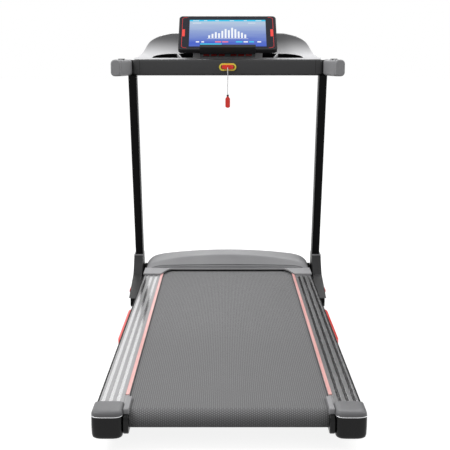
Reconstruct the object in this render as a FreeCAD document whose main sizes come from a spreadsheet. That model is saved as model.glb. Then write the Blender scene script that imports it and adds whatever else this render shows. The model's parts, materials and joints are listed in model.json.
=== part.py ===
import FreeCAD, Part
import math
import os
import sys
from types import SimpleNamespace

import Sketcher

# Folding motorised treadmill, in millimetres.
# X runs across the belt, Y forward along it, Z up. The origin is on the floor, below the middle.

V = FreeCAD.Vector
doc = FreeCAD.newDocument("Treadmill")
sheet = doc.addObject("Spreadsheet::Sheet", "Dims")
os.makedirs("parts", exist_ok=True)

# Driving dimensions: alias, value, what it is

DIMENSIONS = [
    ("length_all", 1600, "rear face of the end caps to front of the motor hood"),
    ("belt_half", 246, "half of the running belt's width"),
    ("belt_thick", 2, "running belt thickness"),
    ("belt_top", 100.5, "height of the running surface"),
    ("slip", 0.3, "clearance between neighbours that move"),
    ("roller_rad", 22.7, "radius of both rollers"),
    ("axle_rad", 8.5, "radius of the roller axles"),
    ("bore_gap", 0.05, "radial running clearance of a bearing"),
    ("front_roller_y", 668, "place of the front roller"),
    ("rear_roller_in", 55, "rear face of the caps to the rear roller"),
    ("rail_inner", 244, "inner edge of a side rail"),
    ("rail_outer", 318, "outer face of a side rail"),
    ("rail_top", 106, "top of the side rails"),
    ("rail_wall", 4, "wall of the rail extrusion"),
    ("rail_bottom", 40, "lower edge of the rail skirt"),
    ("rail_front_y", 632, "front end of the side rails"),
    ("groove_deep", 2.5, "depth of a tread groove in a rail"),
    ("groove_wide", 9, "width of a tread groove"),
    ("groove_pitch", 18, "spacing of the tread grooves"),
    ("strip_wide", 9, "width of the coloured edge strip"),
    ("strip_thick", 1.2, "thickness of the edge strip"),
    ("tube_inner", 278, "inner face of a deck side tube"),
    ("tube_wide", 30, "width of a deck side tube"),
    ("tube_low", 46, "underside of a deck side tube"),
    ("tube_tall", 48, "height of a deck side tube"),
    ("tube_wall", 2.5, "wall of the steel tubes"),
    ("member_low", 56, "underside of a deck crossmember"),
    ("member_tall", 15, "height of a deck crossmember"),
    ("member_wide", 34, "width of a deck crossmember"),
    ("board_thick", 18, "running board thickness"),
    ("board_half", 272, "half of the running board's width"),
    ("cap_long", 62, "length of a rear end cap"),
    ("cap_inner", 249, "inner face of a rear end cap"),
    ("cap_outer", 324, "outer face of a rear end cap"),
    ("cap_top", 99, "top of the lower half of an end cap"),
    ("cap_wall", 3, "wall of an end cap"),
    ("lid_top", 109, "top of an end cap's lid"),
    ("foot_in", 145, "rear face of the caps to the rear feet"),
    ("foot_rad", 21, "radius of a rear foot"),
    ("pivot_y", 775, "place of the fold axis"),
    ("pivot_z", 80, "height of the fold axis"),
    ("pin_rad", 8, "radius of the fold pins"),
    ("hood_rear_y", 640, "rear edge of the hood's dome"),
    ("hood_low", 92, "lower edge of the motor hood"),
    ("hood_top", 147, "top of the motor hood"),
    ("hood_wall", 3, "wall of the motor hood"),
    ("pan_floor", 40, "underside of the motor pan"),
    ("pan_wall", 2.5, "wall of the motor pan"),
    ("motor_rad", 40, "radius of the motor can"),
    ("motor_y", 748, "place of the motor shaft"),
    ("motor_z", 88, "height of the motor shaft"),
    ("motor_long", 140, "length of the motor can"),
    ("shaft_rad", 6, "radius of the motor shaft"),
    ("motor_pulley_rad", 14, "radius of the motor pulley"),
    ("roller_pulley_rad", 32, "radius of the front roller's pulley"),
    ("drive_x", 252, "inner face of the pulleys"),
    ("drive_wide", 14, "width of the pulleys"),
    ("drive_belt_thick", 2.5, "drive belt thickness"),
    ("runner_inner", 331, "inner face of a floor runner"),
    ("runner_wide", 28, "width of a floor runner"),
    ("runner_low", 6, "underside of a floor runner"),
    ("runner_tall", 32, "height of a floor runner"),
    ("runner_rear_y", 455, "rear end of the floor runners"),
    ("runner_front_y", 742, "front end of the square floor runners"),
    ("ear_thick", 10, "thickness of the ear for a fold pin"),
    ("cross_tall", 20, "height of a floor cross tube"),
    ("cross_wide", 26, "width of a floor cross tube"),
    ("mid_cross_y", 640, "middle of the rear floor cross tube"),
    ("front_cross_y", 722, "middle of the front floor cross tube"),
    ("wheel_rad", 20, "radius of a transport wheel"),
    ("wheel_wide", 22, "width of a transport wheel"),
    ("wheel_lift", 2, "wheels off the floor while the treadmill is in use"),
    ("wheel_axle_rad", 4, "radius of a transport wheel's axle"),
    ("strut_base_y", 600, "place of the strut's floor pivot"),
    ("strut_deck_y", 185, "place of the strut's deck pivot"),
    ("strut_z", 27, "height of both strut pivots"),
    ("strut_rad", 11, "radius of the strut's cylinder"),
    ("rod_rad", 4, "radius of the strut's rod"),
    ("strut_pin_rad", 5, "radius of the strut's pins"),
    ("upright_foot", 52, "height of an upright's lower end"),
    ("upright_wide", 29, "width of an upright across"),
    ("upright_deep", 58, "depth of an upright fore and aft"),
    ("upright_inner", 331, "inner face of an upright"),
    ("upright_top_y", 560, "middle of an upright at its top"),
    ("upright_lean", 12.5, "lean of the uprights from the vertical, in degrees"),
    ("boot_outer", 365, "outer face of a boot"),
    ("boot_top", 150, "top of a boot"),
    ("bar_low", 850, "underside of the handlebar"),
    ("bar_tall", 57, "height of the handlebar"),
    ("bar_face_y", 540, "face of the crossbar towards the runner, at the middle"),
    ("bar_deep", 45, "depth of the crossbar"),
    ("bar_bow", 10, "how far the crossbar bows at its middle"),
    ("arm_inner", 346, "inner face of a handlebar arm at its root"),
    ("arm_outer", 388, "outer face of a handlebar arm at its root"),
    ("arm_end_inner", 372, "inner face of an arm at its rear end"),
    ("arm_end_outer", 406, "outer face of an arm at its rear end"),
    ("arm_end_y", 398, "rear end of the handlebar arms"),
    ("arm_cap_long", 22, "length of an arm's end cap"),
    ("panel_lean", 50, "lean of the console panel from the vertical, in degrees"),
    ("panel_low_z", 904, "height of the console panel's lower edge"),
    ("panel_long", 140, "console panel from lower to upper edge"),
    ("panel_half", 322, "half of the console panel's width at its lower edge"),
    ("panel_top_half", 196, "half of the console panel's width at its flat top"),
    ("tray_deep", 26, "depth of a console tray"),
    ("display_wide", 360, "width of the display"),
    ("display_tall", 192, "height of the display"),
    ("display_thick", 18, "thickness of the display housing"),
    ("display_stand", 34, "panel to the display's back"),
    ("display_drop", 1, "how far the display hangs below the panel's edge"),
    ("glass_thick", 1.5, "thickness of the display glass"),
    ("ledge_wide", 202, "width of the media ledge"),
    ("key_wide", 22, "length of a console key"),
    ("key_tall", 8, "height of a console key"),
    ("key_travel", 1.2, "travel of a key"),
    ("lock_z", 880, "height of the safety key"),
    ("lock_wide", 62, "width of the safety key's bezel"),
    ("lock_tall", 27, "height of the safety key's bezel"),
    ("cord_rad", 1.3, "radius of the safety cord"),
]


class Size:
    """A size that carries its number and its formula in the sheet."""

    def __init__(self, value, text):
        self.value = float(value)
        self.text = text

    def __add__(self, other):
        other = as_size(other)
        return Size(self.value + other.value, "(%s + %s)" % (self.text, other.text))

    def __sub__(self, other):
        other = as_size(other)
        return Size(self.value - other.value, "(%s - %s)" % (self.text, other.text))

    def __mul__(self, other):
        other = as_size(other)
        return Size(self.value * other.value, "(%s * %s)" % (self.text, other.text))

    def __truediv__(self, other):
        other = as_size(other)
        return Size(self.value / other.value, "(%s / %s)" % (self.text, other.text))

    def __radd__(self, other):
        return as_size(other) + self

    def __rsub__(self, other):
        return as_size(other) - self

    def __rmul__(self, other):
        return as_size(other) * self

    def __neg__(self):
        return Size(-self.value, "(0 - %s)" % self.text)

    def __float__(self):
        return self.value


def as_size(thing):
    if isinstance(thing, Size):
        return thing
    return Size(thing, "%.6f" % thing if thing >= 0 else "(0 - %.6f)" % -thing)


def trig(name, angle):
    """The sine, cosine or tangent of an angle in degrees."""
    value = getattr(math, name)(math.radians(angle.value))
    return Size(value, "%s(%s * 1 deg)" % (name, angle.text))


def fill_sheet():
    """Write every driving dimension into the sheet and return them by name."""
    sizes = SimpleNamespace()
    for row, (alias, value, note) in enumerate(DIMENSIONS, start=1):
        sheet.set("A%d" % row, note)
        sheet.set("B%d" % row, "%s" % value)
        sheet.setAlias("B%d" % row, alias)
        setattr(sizes, alias, Size(value, "Dims." + alias))
    doc.recompute()
    return sizes


D = fill_sheet()
NODES = []


def bind(thing, prop, size):
    """Set a property and tie it to its formula in the sheet."""
    size = as_size(size)
    thing.setExpression(prop, size.text)


def place(thing, x, y, z):
    bind(thing, "Placement.Base.x", x)
    bind(thing, "Placement.Base.y", y)
    bind(thing, "Placement.Base.z", z)


def node(thing, name):
    """Keep an object as the sub-part called name."""
    thing.Label = name
    NODES.append(thing)
    return thing


# Primitives between two corners or along an axis

def box(x0, x1, y0, y1, z0, z1):
    made = doc.addObject("Part::Box", "Block")
    x0, x1, y0, y1, z0, z1 = [as_size(v) for v in (x0, x1, y0, y1, z0, z1)]
    bind(made, "Length", x1 - x0)
    bind(made, "Width", y1 - y0)
    bind(made, "Height", z1 - z0)
    place(made, x0, y0, z0)
    return made


AXIS_TURN = {
    "x": FreeCAD.Rotation(V(0, 1, 0), 90),
    "y": FreeCAD.Rotation(V(1, 0, 0), -90),
    "z": FreeCAD.Rotation(),
}


def rod(axis, x, y, z, radius, length):
    """A cylinder that starts at a point and runs along an axis."""
    made = doc.addObject("Part::Cylinder", "Rod")
    bind(made, "Radius", radius)
    bind(made, "Height", length)
    made.Placement = FreeCAD.Placement(V(), AXIS_TURN[axis])
    place(made, x, y, z)
    return made


def fuse(things, refine=True):
    made = doc.addObject("Part::MultiFuse", "Union")
    made.Shapes = things
    made.Refine = refine
    return made


def cut(base, tools):
    made = doc.addObject("Part::Cut", "Difference")
    made.Base = base
    made.Tool = tools[0] if len(tools) == 1 else fuse(tools)
    return made


def common(first, second):
    made = doc.addObject("Part::Common", "Overlap")
    made.Base = first
    made.Tool = second
    return made


def mirror(thing):
    """The same piece on the other side of the middle plane."""
    made = doc.addObject("Part::Mirroring", "Mirrored")
    made.Source = thing
    made.Normal = V(1, 0, 0)
    made.Base = V(0, 0, 0)
    return made


def group(things):
    made = doc.addObject("Part::Compound", "Group")
    made.Links = things
    return made


def both_sides(thing):
    return group([thing, mirror(thing)])


# Sketched bodies

def plane_of(body, role):
    for feature in body.Origin.OriginFeatures:
        if feature.Role == role:
            return feature
    raise ValueError(role)


def arc_between(start, end, radius, turn):
    """A short arc from start to end; turn is 1 anticlockwise, -1 clockwise."""
    chord = end - start
    half = chord.Length / 2
    rise = math.sqrt(max(radius * radius - half * half, 0.0))
    side = V(-chord.y, chord.x, 0).normalize()
    centre = (start + end) * 0.5 + side * rise * turn
    first, last = (start, end) if turn > 0 else (end, start)
    a0 = math.atan2(first.y - centre.y, first.x - centre.x)
    a1 = math.atan2(last.y - centre.y, last.x - centre.x)
    circle = Part.Circle(centre, V(0, 0, 1), radius)
    return Part.ArcOfCircle(circle, a0, a1 if a1 > a0 else a1 + 2 * math.pi)


def draw_outline(sketch, points):
    """A closed outline. Each point is (across, up) or (across, up, radius, turn), where the
    last two make the stretch to the next point an arc."""
    count = len(points)
    flat = [V(float(p[0]), float(p[1]), 0) for p in points]
    ends = []
    for i, point in enumerate(points):
        start, end = flat[i], flat[(i + 1) % count]
        if len(point) == 4:
            index = sketch.addGeometry(arc_between(start, end, float(point[2]), point[3]))
            ends.append((index, 1, 2) if point[3] > 0 else (index, 2, 1))
        else:
            index = sketch.addGeometry(Part.LineSegment(start, end))
            ends.append((index, 1, 2))
    for i, point in enumerate(points):
        index, first, last = ends[i]
        following = ends[(i + 1) % count]
        sketch.addConstraint(Sketcher.Constraint("Coincident", index, last, following[0], following[1]))
        for kind, size in (("DistanceX", point[0]), ("DistanceY", point[1])):
            size = as_size(size)
            which = sketch.addConstraint(Sketcher.Constraint(kind, -1, 1, index, first, size.value))
            sketch.setExpression("Constraints[%d]" % which, size.text)
        if len(point) == 4:
            size = as_size(point[2])
            which = sketch.addConstraint(Sketcher.Constraint("Radius", index, size.value))
            sketch.setExpression("Constraints[%d]" % which, size.text)


def draw_circle(sketch, across, up, radius):
    across, up, radius = as_size(across), as_size(up), as_size(radius)
    circle = Part.Circle(V(across.value, up.value, 0), V(0, 0, 1), radius.value)
    index = sketch.addGeometry(circle)
    for kind, size in (("DistanceX", across), ("DistanceY", up)):
        which = sketch.addConstraint(Sketcher.Constraint(kind, -1, 1, index, 3, size.value))
        sketch.setExpression("Constraints[%d]" % which, size.text)
    which = sketch.addConstraint(Sketcher.Constraint("Radius", index, radius.value))
    sketch.setExpression("Constraints[%d]" % which, radius.text)


ROLES = {"x": "YZ_Plane", "y": "XZ_Plane", "z": "XY_Plane"}


def sketch_in(body, axis, where):
    """A sketch across an axis, at a place along it."""
    sketch = body.newObject("Sketcher::SketchObject", "Profile")
    sketch.AttachmentSupport = (plane_of(body, ROLES[axis]), "")
    sketch.MapMode = "FlatFace"
    offset = as_size(where)
    if axis == "y":
        offset = -offset
    bind(sketch, "AttachmentOffset.Base.z", offset)
    return sketch


def extrude(axis, points, low, high):
    """A body whose outline runs along an axis from low to high."""
    body = doc.addObject("PartDesign::Body", "Body")
    start = high if axis == "y" else low
    sketch = sketch_in(body, axis, start)
    draw_outline(sketch, points)
    pad = body.newObject("PartDesign::Pad", "Pad")
    pad.Profile = sketch
    bind(pad, "Length", as_size(high) - low)
    return body


def pocket_loop(body, axis, points, low, high):
    """Cut an outline out of a body, along an axis from low to high."""
    start = low if axis == "y" else high
    sketch = sketch_in(body, axis, start)
    draw_outline(sketch, points)
    doc.recompute()
    before = body.Shape.Volume
    hole = body.newObject("PartDesign::Pocket", "Pocket")
    hole.Profile = sketch
    bind(hole, "Length", as_size(high) - low)
    doc.recompute()
    if body.Shape.Volume > before - 1e-6:
        raise ValueError("a pocket cut nothing")
    return body


def round_edges(body, radius, chosen):
    """Round the edges of a body for which chosen(start, end, middle) is true."""
    doc.recompute()
    tip = body.Tip
    names = []
    for i, edge in enumerate(tip.Shape.Edges, start=1):
        ends = [v.Point for v in edge.Vertexes]
        middle = edge.valueAt((edge.FirstParameter + edge.LastParameter) / 2)
        if len(ends) == 2 and chosen(ends[0], ends[1], middle):
            names.append("Edge%d" % i)
    if not names:
        raise ValueError("no edge to round")
    made = body.newObject("PartDesign::Fillet", "Round")
    made.Base = (tip, names)
    bind(made, "Radius", radius)
    return body


def along(axis):
    """Chooses the edges that run along an axis."""
    def chosen(start, end, middle):
        step = end - start
        return abs(getattr(step, axis)) > 0.999 * step.Length
    return chosen


def rectangle(a0, a1, b0, b1):
    return [(a0, b0), (a1, b0), (a1, b1), (a0, b1)]


def loft(sections):
    """A solid through outlines, each (axis, place, points)."""
    sketches = []
    for axis, where, points in sections:
        sketch = doc.addObject("Sketcher::SketchObject", "Section")
        turn = {"x": FreeCAD.Rotation(V(1, 1, 1), 120), "y": FreeCAD.Rotation(V(1, 0, 0), 90),
                "z": FreeCAD.Rotation()}[axis]
        sketch.Placement = FreeCAD.Placement(V(), turn)
        bind(sketch, "Placement.Base." + axis, where)
        draw_outline(sketch, points)
        sketches.append(sketch)
    made = doc.addObject("Part::Loft", "Loft")
    made.Sections = sketches
    made.Solid = True
    made.Ruled = False
    return made


# Places worked out from the driving dimensions

rear_y = -D.length_all / 2
front_y = D.length_all / 2
rear_roller_y = rear_y + D.rear_roller_in
cap_front_y = rear_y + D.cap_long
board_top = D.belt_top - D.belt_thick
board_low = board_top - D.board_thick
belt_inner_rad = D.roller_rad + D.slip
roller_z = board_top - belt_inner_rad
roller_half = D.belt_half - 1
tube_outer = D.tube_inner + D.tube_wide
tube_top = D.tube_low + D.tube_tall
member_top = D.member_low + D.member_tall
runner_outer = D.runner_inner + D.runner_wide
runner_top = D.runner_low + D.runner_tall
cross_top = D.runner_low + D.cross_tall
rail_under = D.rail_top - D.rail_wall
bar_top = D.bar_low + D.bar_tall
bar_front_y = D.bar_face_y + D.bar_deep
lean_tan = trig("tan", D.upright_lean)
drive_outer = D.drive_x + D.drive_wide
wheel_y = front_y - D.wheel_rad - 2
wheel_z = D.wheel_rad + D.wheel_lift
ear_inner = D.runner_inner - D.ear_thick
foot_rear_y = D.runner_front_y - 46
foot_front_y = wheel_y - D.wheel_rad - 1


def upright_y(height):
    """The middle of an upright at a height."""
    return D.upright_top_y + (D.bar_low - height) * lean_tan


# Floor frame

def floor_runner():
    """A square floor tube with an upright's foot on it, and the ear for the fold pin beside it."""
    outline = [
        (D.runner_rear_y + 8, D.runner_low),
        (D.runner_front_y, D.runner_low),
        (D.runner_front_y, runner_top),
        (D.runner_rear_y, runner_top),
        (D.runner_rear_y, D.runner_low + 10),
    ]
    tube = extrude("x", outline, D.runner_inner, runner_outer)
    foot = box(D.runner_inner, runner_outer, foot_rear_y, foot_front_y, runner_top, D.upright_foot)
    ear = 18
    plate = extrude("x", [
        (foot_rear_y - 10, D.runner_low),
        (wheel_y, D.runner_low),
        (D.pivot_y + ear, wheel_z),
        (D.pivot_y + ear, D.pivot_z),
        (D.pivot_y + ear / 2, D.pivot_z + ear),
        (D.pivot_y - ear / 2, D.pivot_z + ear),
        (foot_rear_y - 10, runner_top),
    ], ear_inner, D.runner_inner)
    bore = rod("x", ear_inner - 1, D.pivot_y, D.pivot_z, D.pin_rad + D.bore_gap, D.ear_thick + 2)
    axle_end = D.runner_inner + 2 + D.wheel_wide
    stub = rod("x", ear_inner + 2, wheel_y, wheel_z, D.wheel_axle_rad, axle_end - ear_inner)
    washer = rod("x", axle_end + 0.6, wheel_y, wheel_z, D.wheel_axle_rad + 3, 2)
    return fuse([tube, foot, cut(plate, [bore]), stub, washer])


def cross_tube(middle, half):
    return box(-half, half, middle - D.cross_wide / 2, middle + D.cross_wide / 2, D.runner_low, cross_top)


def strut_base_bracket():
    """Two ears on the rear floor cross tube that hold the strut's lower pin."""
    ear_thick = 4
    low = cross_top
    outline = [
        (D.mid_cross_y + D.cross_wide / 2, low),
        (D.mid_cross_y + D.cross_wide / 2, low + 6),
        (D.strut_base_y, D.strut_z + 10),
        (D.strut_base_y - 10, D.strut_z),
        (D.strut_base_y - 10, D.strut_z - 8),
        (D.mid_cross_y - D.cross_wide / 2 - D.slip, D.strut_z - 8),
        (D.mid_cross_y - D.cross_wide / 2 - D.slip, low),
    ]
    inner = D.strut_rad + 1
    ear = extrude("x", outline, inner, inner + ear_thick)
    pin = rod("x", -inner - ear_thick, D.strut_base_y, D.strut_z, D.strut_pin_rad, 2 * (inner + ear_thick))
    return fuse([ear, mirror(ear), pin])


def floor_feet():
    """Rubber pads below the floor runners."""
    pads = []
    middle_x = D.runner_inner + D.runner_wide / 2
    for y in (D.runner_rear_y + 40, D.runner_front_y - 30):
        pads.append(rod("z", middle_x, y, 0, 13, D.runner_low))
    return both_sides(group(pads))


def transport_wheel():
    """A wheel with dished faces round its hub, beside the ear."""
    x0 = D.runner_inner + 2
    tyre = rod("x", x0, wheel_y, wheel_z, D.wheel_rad, D.wheel_wide)
    bore = rod("x", x0 - 1, wheel_y, wheel_z, D.wheel_axle_rad + D.bore_gap, D.wheel_wide + 2)
    dish = rod("x", x0 - 1, wheel_y, wheel_z, D.wheel_rad - 6, 4)
    dish_far = rod("x", x0 + D.wheel_wide - 3, wheel_y, wheel_z, D.wheel_rad - 6, 4)
    hub = rod("x", x0, wheel_y, wheel_z, D.wheel_axle_rad + 4, D.wheel_wide)
    return cut(fuse([cut(tyre, [dish, dish_far]), hub]), [bore])


# Uprights and their boots

def upright():
    """A leaning rectangular steel tube with rounded corners."""
    low = D.upright_foot
    half = D.upright_deep / 2
    outline = [
        (upright_y(low) - half, low),
        (upright_y(low) + half, low),
        (upright_y(D.bar_low) + half, D.bar_low),
        (upright_y(D.bar_low) - half, D.bar_low),
    ]
    tube = extrude("x", outline, D.upright_inner, D.upright_inner + D.upright_wide)
    round_edges(tube, 6, lambda a, b, m: abs(b.z - a.z) > 100)
    return tube


def boot():
    """The moulded cover round the foot of an upright, flared towards the floor."""
    collar = D.upright_deep / 2 + 8
    floor_z = runner_top + D.slip
    shoulder = D.boot_top - 62
    outline = [
        (D.runner_rear_y + 6, floor_z),
        (foot_front_y, floor_z),
        (foot_front_y, D.upright_foot - 6),
        (upright_y(D.upright_foot) + collar + 4, D.upright_foot),
        (upright_y(D.boot_top) + collar, D.boot_top),
        (upright_y(D.boot_top) - collar, D.boot_top, 190, -1),
        (upright_y(shoulder) - collar - 62, shoulder),
    ]
    shell = extrude("x", outline, D.runner_inner, D.boot_outer)
    low = D.upright_foot - 0.2
    half = D.upright_deep / 2 + 0.2
    hole = [
        (upright_y(low) - half, low),
        (upright_y(low) + half, low),
        (upright_y(D.boot_top + 10) + half, D.boot_top + 10),
        (upright_y(D.boot_top + 10) - half, D.boot_top + 10),
    ]
    socket = extrude("x", hole, D.upright_inner - 1, D.upright_inner + D.upright_wide + 0.2)
    seat = box(D.runner_inner - 1, runner_outer + 0.2, foot_rear_y - 0.2, foot_front_y + 1, runner_top - 1,
               D.upright_foot + 0.2)
    return cut(shell, [socket, seat])


def boot_collar():
    """The bright ring where an upright leaves its boot."""
    low = D.boot_top + 0.2
    high = low + 5
    grow = 6
    ring = []
    hole = []
    for z, points in ((low, ring), (high, ring), (low, hole), (high, hole)):
        reach = D.upright_deep / 2 + (grow if points is ring else 0.2)
        points.append((upright_y(z) - reach, z))
        points.append((upright_y(z) + reach, z))
    outer = extrude("x", [ring[0], ring[1], ring[3], ring[2]], D.upright_inner, D.boot_outer)
    inner = extrude("x", [hole[0], hole[1], hole[3], hole[2]], D.upright_inner - 1,
                    D.upright_inner + D.upright_wide + 0.2)
    return cut(outer, [inner])


def boot_accent():
    """The coloured strip low on a boot's outer face."""
    y = D.runner_rear_y + 50
    return box(D.boot_outer + 0.1, D.boot_outer + 2, y, y + 70, runner_top + 12, runner_top + 20)


# Handlebar: a crossbar that bows towards the console and turns back into two arms

def handlebar():
    """One outline seen from above, raised to the bar's height."""
    corner_in = 30
    corner_out = 34
    inner_y = D.bar_face_y - D.bar_bow
    half_chord = D.arm_inner - corner_in
    bow_radius = (half_chord * half_chord / D.bar_bow + D.bar_bow) / 2
    arm_y = D.arm_end_y + D.arm_cap_long
    right = [
        (D.arm_end_inner, arm_y),
        (D.arm_end_outer, arm_y),
        (D.arm_outer, bar_front_y - corner_out, corner_out, 1),
        (D.arm_outer - corner_out, bar_front_y),
    ]
    left = [
        (-D.arm_outer + corner_out, bar_front_y, corner_out, 1),
        (-D.arm_outer, bar_front_y - corner_out),
        (-D.arm_end_outer, arm_y),
        (-D.arm_end_inner, arm_y),
    ]
    inner = [
        (-D.arm_inner, inner_y - corner_in, corner_in, -1),
        (-D.arm_inner + corner_in, inner_y, bow_radius, -1),
        (D.arm_inner - corner_in, inner_y, corner_in, -1),
        (D.arm_inner, inner_y - corner_in),
    ]
    bar = extrude("z", right + left + inner, D.bar_low, bar_top)
    level = (D.bar_low.value, bar_top.value)
    round_edges(bar, 9, lambda a, b, m: min(abs(m.z - v) for v in level) < 0.1 and m.y > arm_y.value + 1)
    slot = box(-D.lock_wide / 2 + 8, D.lock_wide / 2 - 8, D.bar_face_y - 5, D.bar_face_y + 8,
               D.lock_z - D.lock_tall / 2 + 6, D.lock_z + D.lock_tall / 2 - 6)
    return cut(bar, [slot])


def arm_cap():
    """The rounded cap on the rear end of a handlebar arm."""
    cap = extrude("y", rectangle(D.arm_end_inner, D.arm_end_outer, D.bar_low, bar_top),
                  D.arm_end_y, D.arm_end_y + D.arm_cap_long)
    round_edges(cap, 14, along("y"))
    round_edges(cap, 5, lambda a, b, m: abs(m.y - D.arm_end_y.value) < 0.1)
    return cap


def arm_pad():
    """The sensor plate let into the top of an arm."""
    middle = (D.arm_inner + D.arm_end_outer) / 2
    pad = extrude("z", rectangle(middle - 10, middle + 10, D.arm_end_y + 50, D.arm_end_y + 105),
                  bar_top + 0.1, bar_top + 3)
    round_edges(pad, 8, along("z"))
    return pad


# Console, in the leaning frame of its panel: u across, v up the slope, n out of the face

lean_sin = trig("sin", D.panel_lean)
lean_cos = trig("cos", D.panel_lean)
panel_y = bar_front_y + D.slip
PANEL_TURN = FreeCAD.Rotation(V(1, 0, 0), 90 - D.panel_lean.value)


def slope_y(v, n):
    return panel_y + v * lean_sin - n * lean_cos


def slope_z(v, n):
    return D.panel_low_z + v * lean_cos + n * lean_sin


def leaning(u0, u1, v0, v1, n0, n1, corner=0, edge=0):
    """A block in the panel's frame, with its corners and front edges rounded."""
    body = extrude("z", rectangle(u0, u1, v0, v1), n0, n1)
    if corner:
        round_edges(body, corner, along("z"))
    if edge:
        top = as_size(n1).value
        round_edges(body, edge, lambda a, b, m: abs(m.z - top) < 0.01)
    body.Placement = FreeCAD.Placement(V(), PANEL_TURN)
    place(body, 0, slope_y(as_size(0), as_size(0)), slope_z(as_size(0), as_size(0)))
    return body


def console_shell():
    """The arched housing: its side profile, cut to the outline of the leaning panel."""
    low = D.panel_low_z - 46
    side = [
        (panel_y, low),
        (panel_y + 38, low),
        (slope_y(D.panel_long, -34), slope_z(D.panel_long, -34) - 8),
        (slope_y(D.panel_long, -22), slope_z(D.panel_long, -22), 26, 1),
        (slope_y(D.panel_long - 8, 0), slope_z(D.panel_long - 8, 0)),
        (panel_y, D.panel_low_z),
    ]
    block = extrude("x", side, -D.panel_half, D.panel_half)
    top_half = D.panel_top_half
    shoulder = D.panel_half - top_half
    front = [
        (-D.panel_half, -60),
        (D.panel_half, -60),
        (D.panel_half, 4),
        (D.panel_half - shoulder * 0.3, D.panel_long * 0.34, 70, -1),
        (D.panel_half - shoulder * 0.3, D.panel_long * 0.34 + 0.5),
        (top_half - 30, D.panel_long + 1),
        (-top_half + 30, D.panel_long + 1),
        (-D.panel_half + shoulder * 0.3, D.panel_long * 0.34 + 0.5),
        (-D.panel_half + shoulder * 0.3, D.panel_long * 0.34, 70, -1),
        (-D.panel_half, 4),
    ]
    front[3] = (D.panel_half - shoulder * 0.3, D.panel_long * 0.34)
    front[2] = (D.panel_half, 4, 90, -1)
    front[8] = (-D.panel_half + shoulder * 0.3, D.panel_long * 0.34, 90, -1)
    front[4] = (D.panel_half - shoulder * 0.3, D.panel_long * 0.34 + 0.5, 150, 1)
    front[6] = (-top_half + 30, D.panel_long + 1, 150, 1)
    cutter = extrude("z", front, -90, 40)
    cutter.Placement = FreeCAD.Placement(V(), PANEL_TURN)
    place(cutter, 0, slope_y(as_size(0), as_size(0)), slope_z(as_size(0), as_size(0)))
    return cut(common(block, cutter), [console_tray(-1, 0.3), console_tray(1, 0.3)])


def console_tray(side, grow=0):
    """The space that a tray takes up in the panel."""
    u0 = side * 140 - (135 if side < 0 else 0)
    return leaning(u0 - grow, u0 + 135 + grow, 10 - grow, 42 + grow, -D.tray_deep - grow, 5, 10)


def tray_liner(side):
    """The dark liner of a tray: a thin open cup."""
    u0 = side * 140 - (135 if side < 0 else 0)
    outer = leaning(u0, u0 + 135, 10, 42, -D.tray_deep, 0, 10)
    inner = leaning(u0 + 2, u0 + 133, 12, 40, -D.tray_deep + 2, 1, 8)
    return cut(outer, [inner])


def display_housing():
    v0 = -D.display_drop
    n0 = D.display_stand
    shell = leaning(-D.display_wide / 2, D.display_wide / 2, v0, v0 + D.display_tall, n0,
                    n0 + D.display_thick, 14, 3)
    recess = leaning(-D.display_wide / 2 + 6, D.display_wide / 2 - 6, v0 + 6, v0 + D.display_tall - 6,
                     n0 + D.display_thick - D.glass_thick, n0 + D.display_thick + 1, 9)
    return cut(shell, [recess])


def display_glass():
    v0 = -D.display_drop
    high = D.display_stand + D.display_thick
    return leaning(-D.display_wide / 2 + 6, D.display_wide / 2 - 6, v0 + 6, v0 + D.display_tall - 6,
                   high - D.glass_thick, high, 9)


def display_neck():
    """The stand between the panel and the display's back."""
    return leaning(-70, 70, 60, 122, 0, D.display_stand, 12)


def media_ledge():
    """The lip below the display that holds a book or a tablet, hooked round its lower edge."""
    v_low = -D.display_drop
    n_back = D.display_stand
    n_front = n_back + D.display_thick
    foot = leaning(-D.ledge_wide / 2, D.ledge_wide / 2, v_low - 5.5, v_low - 0.2, n_back, n_front + 14, 2)
    lip = leaning(-D.ledge_wide / 2, D.ledge_wide / 2, v_low - 5.5, v_low + 9, n_front + 10, n_front + 14, 1.8)
    return fuse([foot, lip])


def key_panel():
    """The dark strip below the display with a well for each key."""
    strip = leaning(-D.ledge_wide / 2, D.ledge_wide / 2, 14, 33, 0.1, 4, 2)
    wells = []
    for u in KEY_PLACES:
        half_wide = D.key_wide / 2 + 0.4
        half_tall = D.key_tall / 2 + 0.4
        wells.append(leaning(u - half_wide, u + half_wide, 23.5 - half_tall, 23.5 + half_tall,
                             1.2, 6))
    return cut(strip, wells)


KEY_PLACES = (-78, -50, -22, 22, 50, 78)


def console_key(u):
    """One key, standing proud of its well by a little more than its travel."""
    half_wide = D.key_wide / 2
    half_tall = D.key_tall / 2
    low = 1.2 + D.key_travel + 0.3
    return leaning(u - half_wide, u + half_wide, 23.5 - half_tall, 23.5 + half_tall, low,
                   4 + D.key_travel + 0.4, 2)


# Safety key, hanging from the middle of the crossbar

def lock_bezel():
    """The bright oblong surround of the safety key's socket."""
    half = D.lock_tall / 2
    face = D.bar_face_y - 0.4
    ring = extrude("y", rectangle(-D.lock_wide / 2, D.lock_wide / 2, D.lock_z - half, D.lock_z + half),
                   face - 5, face)
    round_edges(ring, half - 0.1, along("y"))
    hole = extrude("y", rectangle(-D.lock_wide / 2 + 6, D.lock_wide / 2 - 6, D.lock_z - half + 6,
                                  D.lock_z + half - 6), face - 8, face + 2)
    round_edges(hole, half - 6.1, along("y"))
    return cut(ring, [hole])


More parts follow.
